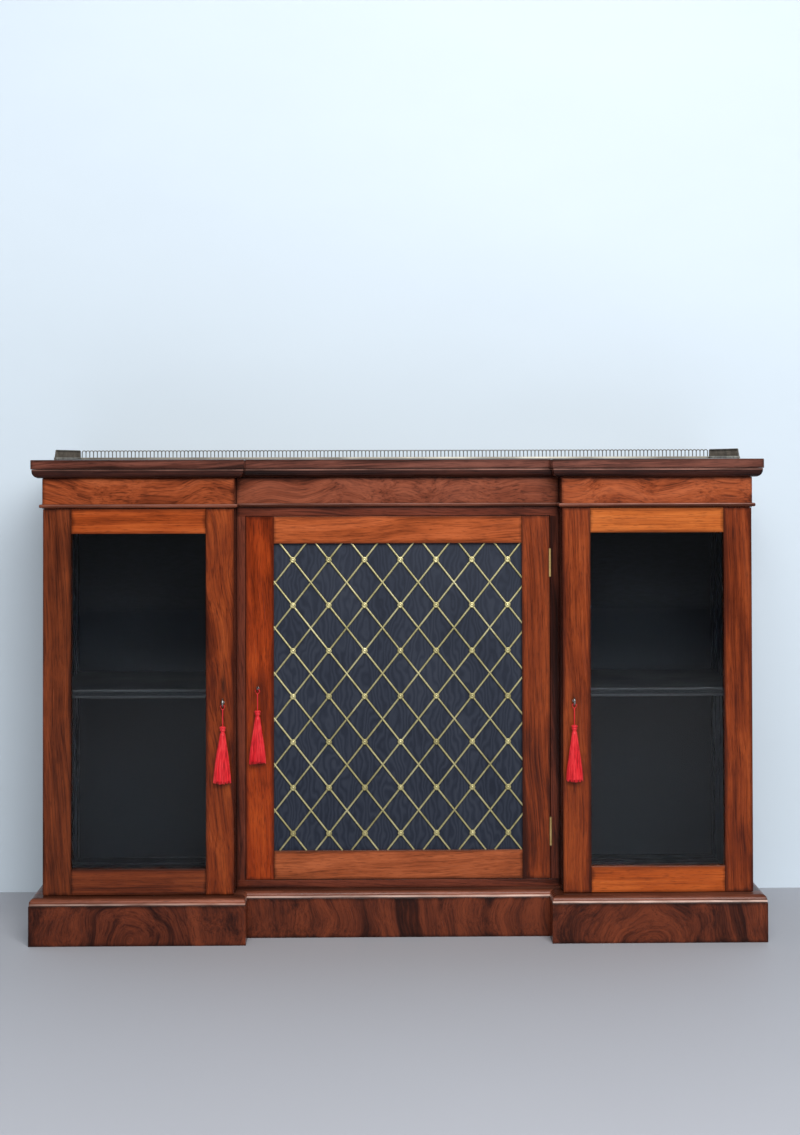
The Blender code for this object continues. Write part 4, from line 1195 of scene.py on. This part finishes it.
def swept_end(name, first):
    """The solid front end of a return, which sweeps down to the foot rail."""
    high = GALLERY_HEIGHT - 0.002
    bpy.ops.mesh.primitive_plane_add(
        size=1, location=(first / 2, 0, high / 2), rotation=(math.pi / 2, 0, 0))
    plate = settled_piece(f"{name}_end", (first, high, 1))
    open_all(plate)
    bpy.ops.mesh.subdivide(number_cuts=5)
    close_edit()
    for point in plate.data.vertices:
        share = min(max(point.co.x / first, 0.0), 1.0)
        top = GALLERY_RAIL + (high - GALLERY_RAIL) * share ** 1.7
        point.co.z *= top / high
    apply_modifier(plate, "SOLIDIFY", thickness=END_PLATE, offset=0.0)
    clean(plate)
    return plate


def make_gallery():
    """The three-quarter brass gallery on the top board."""
    back = hoop_run("gallery_back_hoops", count=166, length=2 * GALLERY_HALF, first=0.0049, swept=False)
    shift(back, (-GALLERY_HALF, GALLERY_BACK, TOP_TOP))
    dress(back, "case", "brass", GALLERY_BRASS, "gallery_back")
    for side, sign in (("left", -1), ("right", 1)):
        run = hoop_run(f"gallery_{side}_hoops", count=38, length=0.3475, first=0.01445, swept=True)
        run.rotation_euler = (0, 0, math.pi / 2)
        shift(run, (sign * (GALLERY_HALF - RETURN_INSET), GALLERY_FRONT, TOP_TOP))
        dress(run, "case", "brass", GALLERY_BRASS, f"gallery_{side}")


make_gallery()


# Stage and light

STAGE_WIDTH = 12
FLOOR_DEPTH = 18
WALL_HEIGHT = 5
FLOOR_COLOUR = (0.45, 0.46, 0.50)
WALL_COLOUR = (0.672, 0.765, 0.848)

# The part of the wall that the cabinet hides
OPENING_HALF = 0.66
OPENING_TOP = 0.95

# Soft light from all round
SKY_COLOUR = (0.90, 0.95, 1.0, 1.0)
SKY_STRENGTH = 0.18

# Lamps: name, place, the point that they face, width, height, power and colour
LAMPS = (
    ("overhead", (0.3, -4.6, 3.9), (0, 0, 0.6), 4.0, 2.8, 178, (1.0, 0.99, 0.97)),
    ("front", (0.9, -4.6, 2.6), (0, 0, 0.6), 2.6, 1.8, 138, (1.0, 1.0, 1.0)),
    ("rear", (-0.9, 3.4, 2.2), (0, BACK, 0.5), 2.6, 1.8, 110, (1.0, 1.0, 1.0)),
)


def plain_finish(name, colour, rough):
    """A plain matt finish for the floor and the wall."""
    material, tree, shader = start_finish(name, Roughness=rough, Specular_IOR_Level=0.2)
    patches = speckle(tree, spread(tree, (0, 0, 0), (3, 3, 3)), 5.0, 0.6)
    wire(tree, shader, ramp(tree, patches, [(0.3, times(colour, 0.95)), (0.7, times(colour, 1.04))]))
    return material


def clear_behind(material):
    """Make a wall clear from behind, and clear to light where the cabinet hides it from the front."""
    tree = material.node_tree
    spot = add_node(tree, "NewGeometry").outputs
    place = split_axes(tree, spot["Position"])
    across = sums(tree, place["X"], 0.0, "ABSOLUTE")
    seen = add_node(tree, "LightPath").outputs["Is Camera Ray"]
    opening = within(
        tree, (across, "LESS_THAN", OPENING_HALF), (place["Z"], "LESS_THAN", OPENING_TOP),
        (seen, "LESS_THAN", 0.5))
    share = sums(tree, spot["Backfacing"], opening, "MAXIMUM")
    clear = add_node(tree, "BsdfTransparent").outputs["BSDF"]
    front = tree.nodes["Principled BSDF"].outputs["BSDF"]
    mixed = add_node(tree, "MixShader", {0: share, 1: front, 2: clear})
    tree.links.new(mixed.outputs["Shader"], tree.nodes["Material Output"].inputs["Surface"])
    return material


def set_stage():
    """A plain pale floor, which runs on behind, and a plain pale wall."""
    bpy.ops.mesh.primitive_plane_add(size=1, location=(0, WALL, 0))
    floor = new_piece("floor")
    floor.scale = (STAGE_WIDTH, FLOOR_DEPTH, 1)
    floor.data.materials.append(plain_finish("pale_floor", FLOOR_COLOUR, 0.6))
    bpy.ops.mesh.primitive_plane_add(
        size=1, location=(0, WALL, WALL_HEIGHT / 2), rotation=(math.pi / 2, 0, 0))
    wall = new_piece("wall")
    wall.scale = (STAGE_WIDTH, WALL_HEIGHT, 1)
    wall.data.materials.append(clear_behind(plain_finish("pale_wall", WALL_COLOUR, 0.9)))


def add_lamp(name, place, target, width, height, power, colour):
    """A soft rectangular lamp that faces a point."""
    lamp = bpy.data.lights.new(name, "AREA")
    lamp.shape = "RECTANGLE"
    lamp.size = width
    lamp.size_y = height
    lamp.energy = power
    lamp.color = colour
    holder = bpy.data.objects.new(name, lamp)
    SCENE.collection.objects.link(holder)
    holder.location = place
    holder.rotation_euler = (Vector(target) - Vector(place)).to_track_quat("-Z", "Y").to_euler()


def set_light():
    """Plain soft studio light from above and in front, and from behind on the back."""
    world = bpy.data.worlds.new("studio")
    SCENE.world = world
    world.use_nodes = True
    background = world.node_tree.nodes["Background"].inputs
    background["Color"].default_value = SKY_COLOUR
    background["Strength"].default_value = SKY_STRENGTH
    for lamp in LAMPS:
        add_lamp(*lamp)
    SCENE.view_settings.view_transform = "Standard"


set_stage()
set_light()
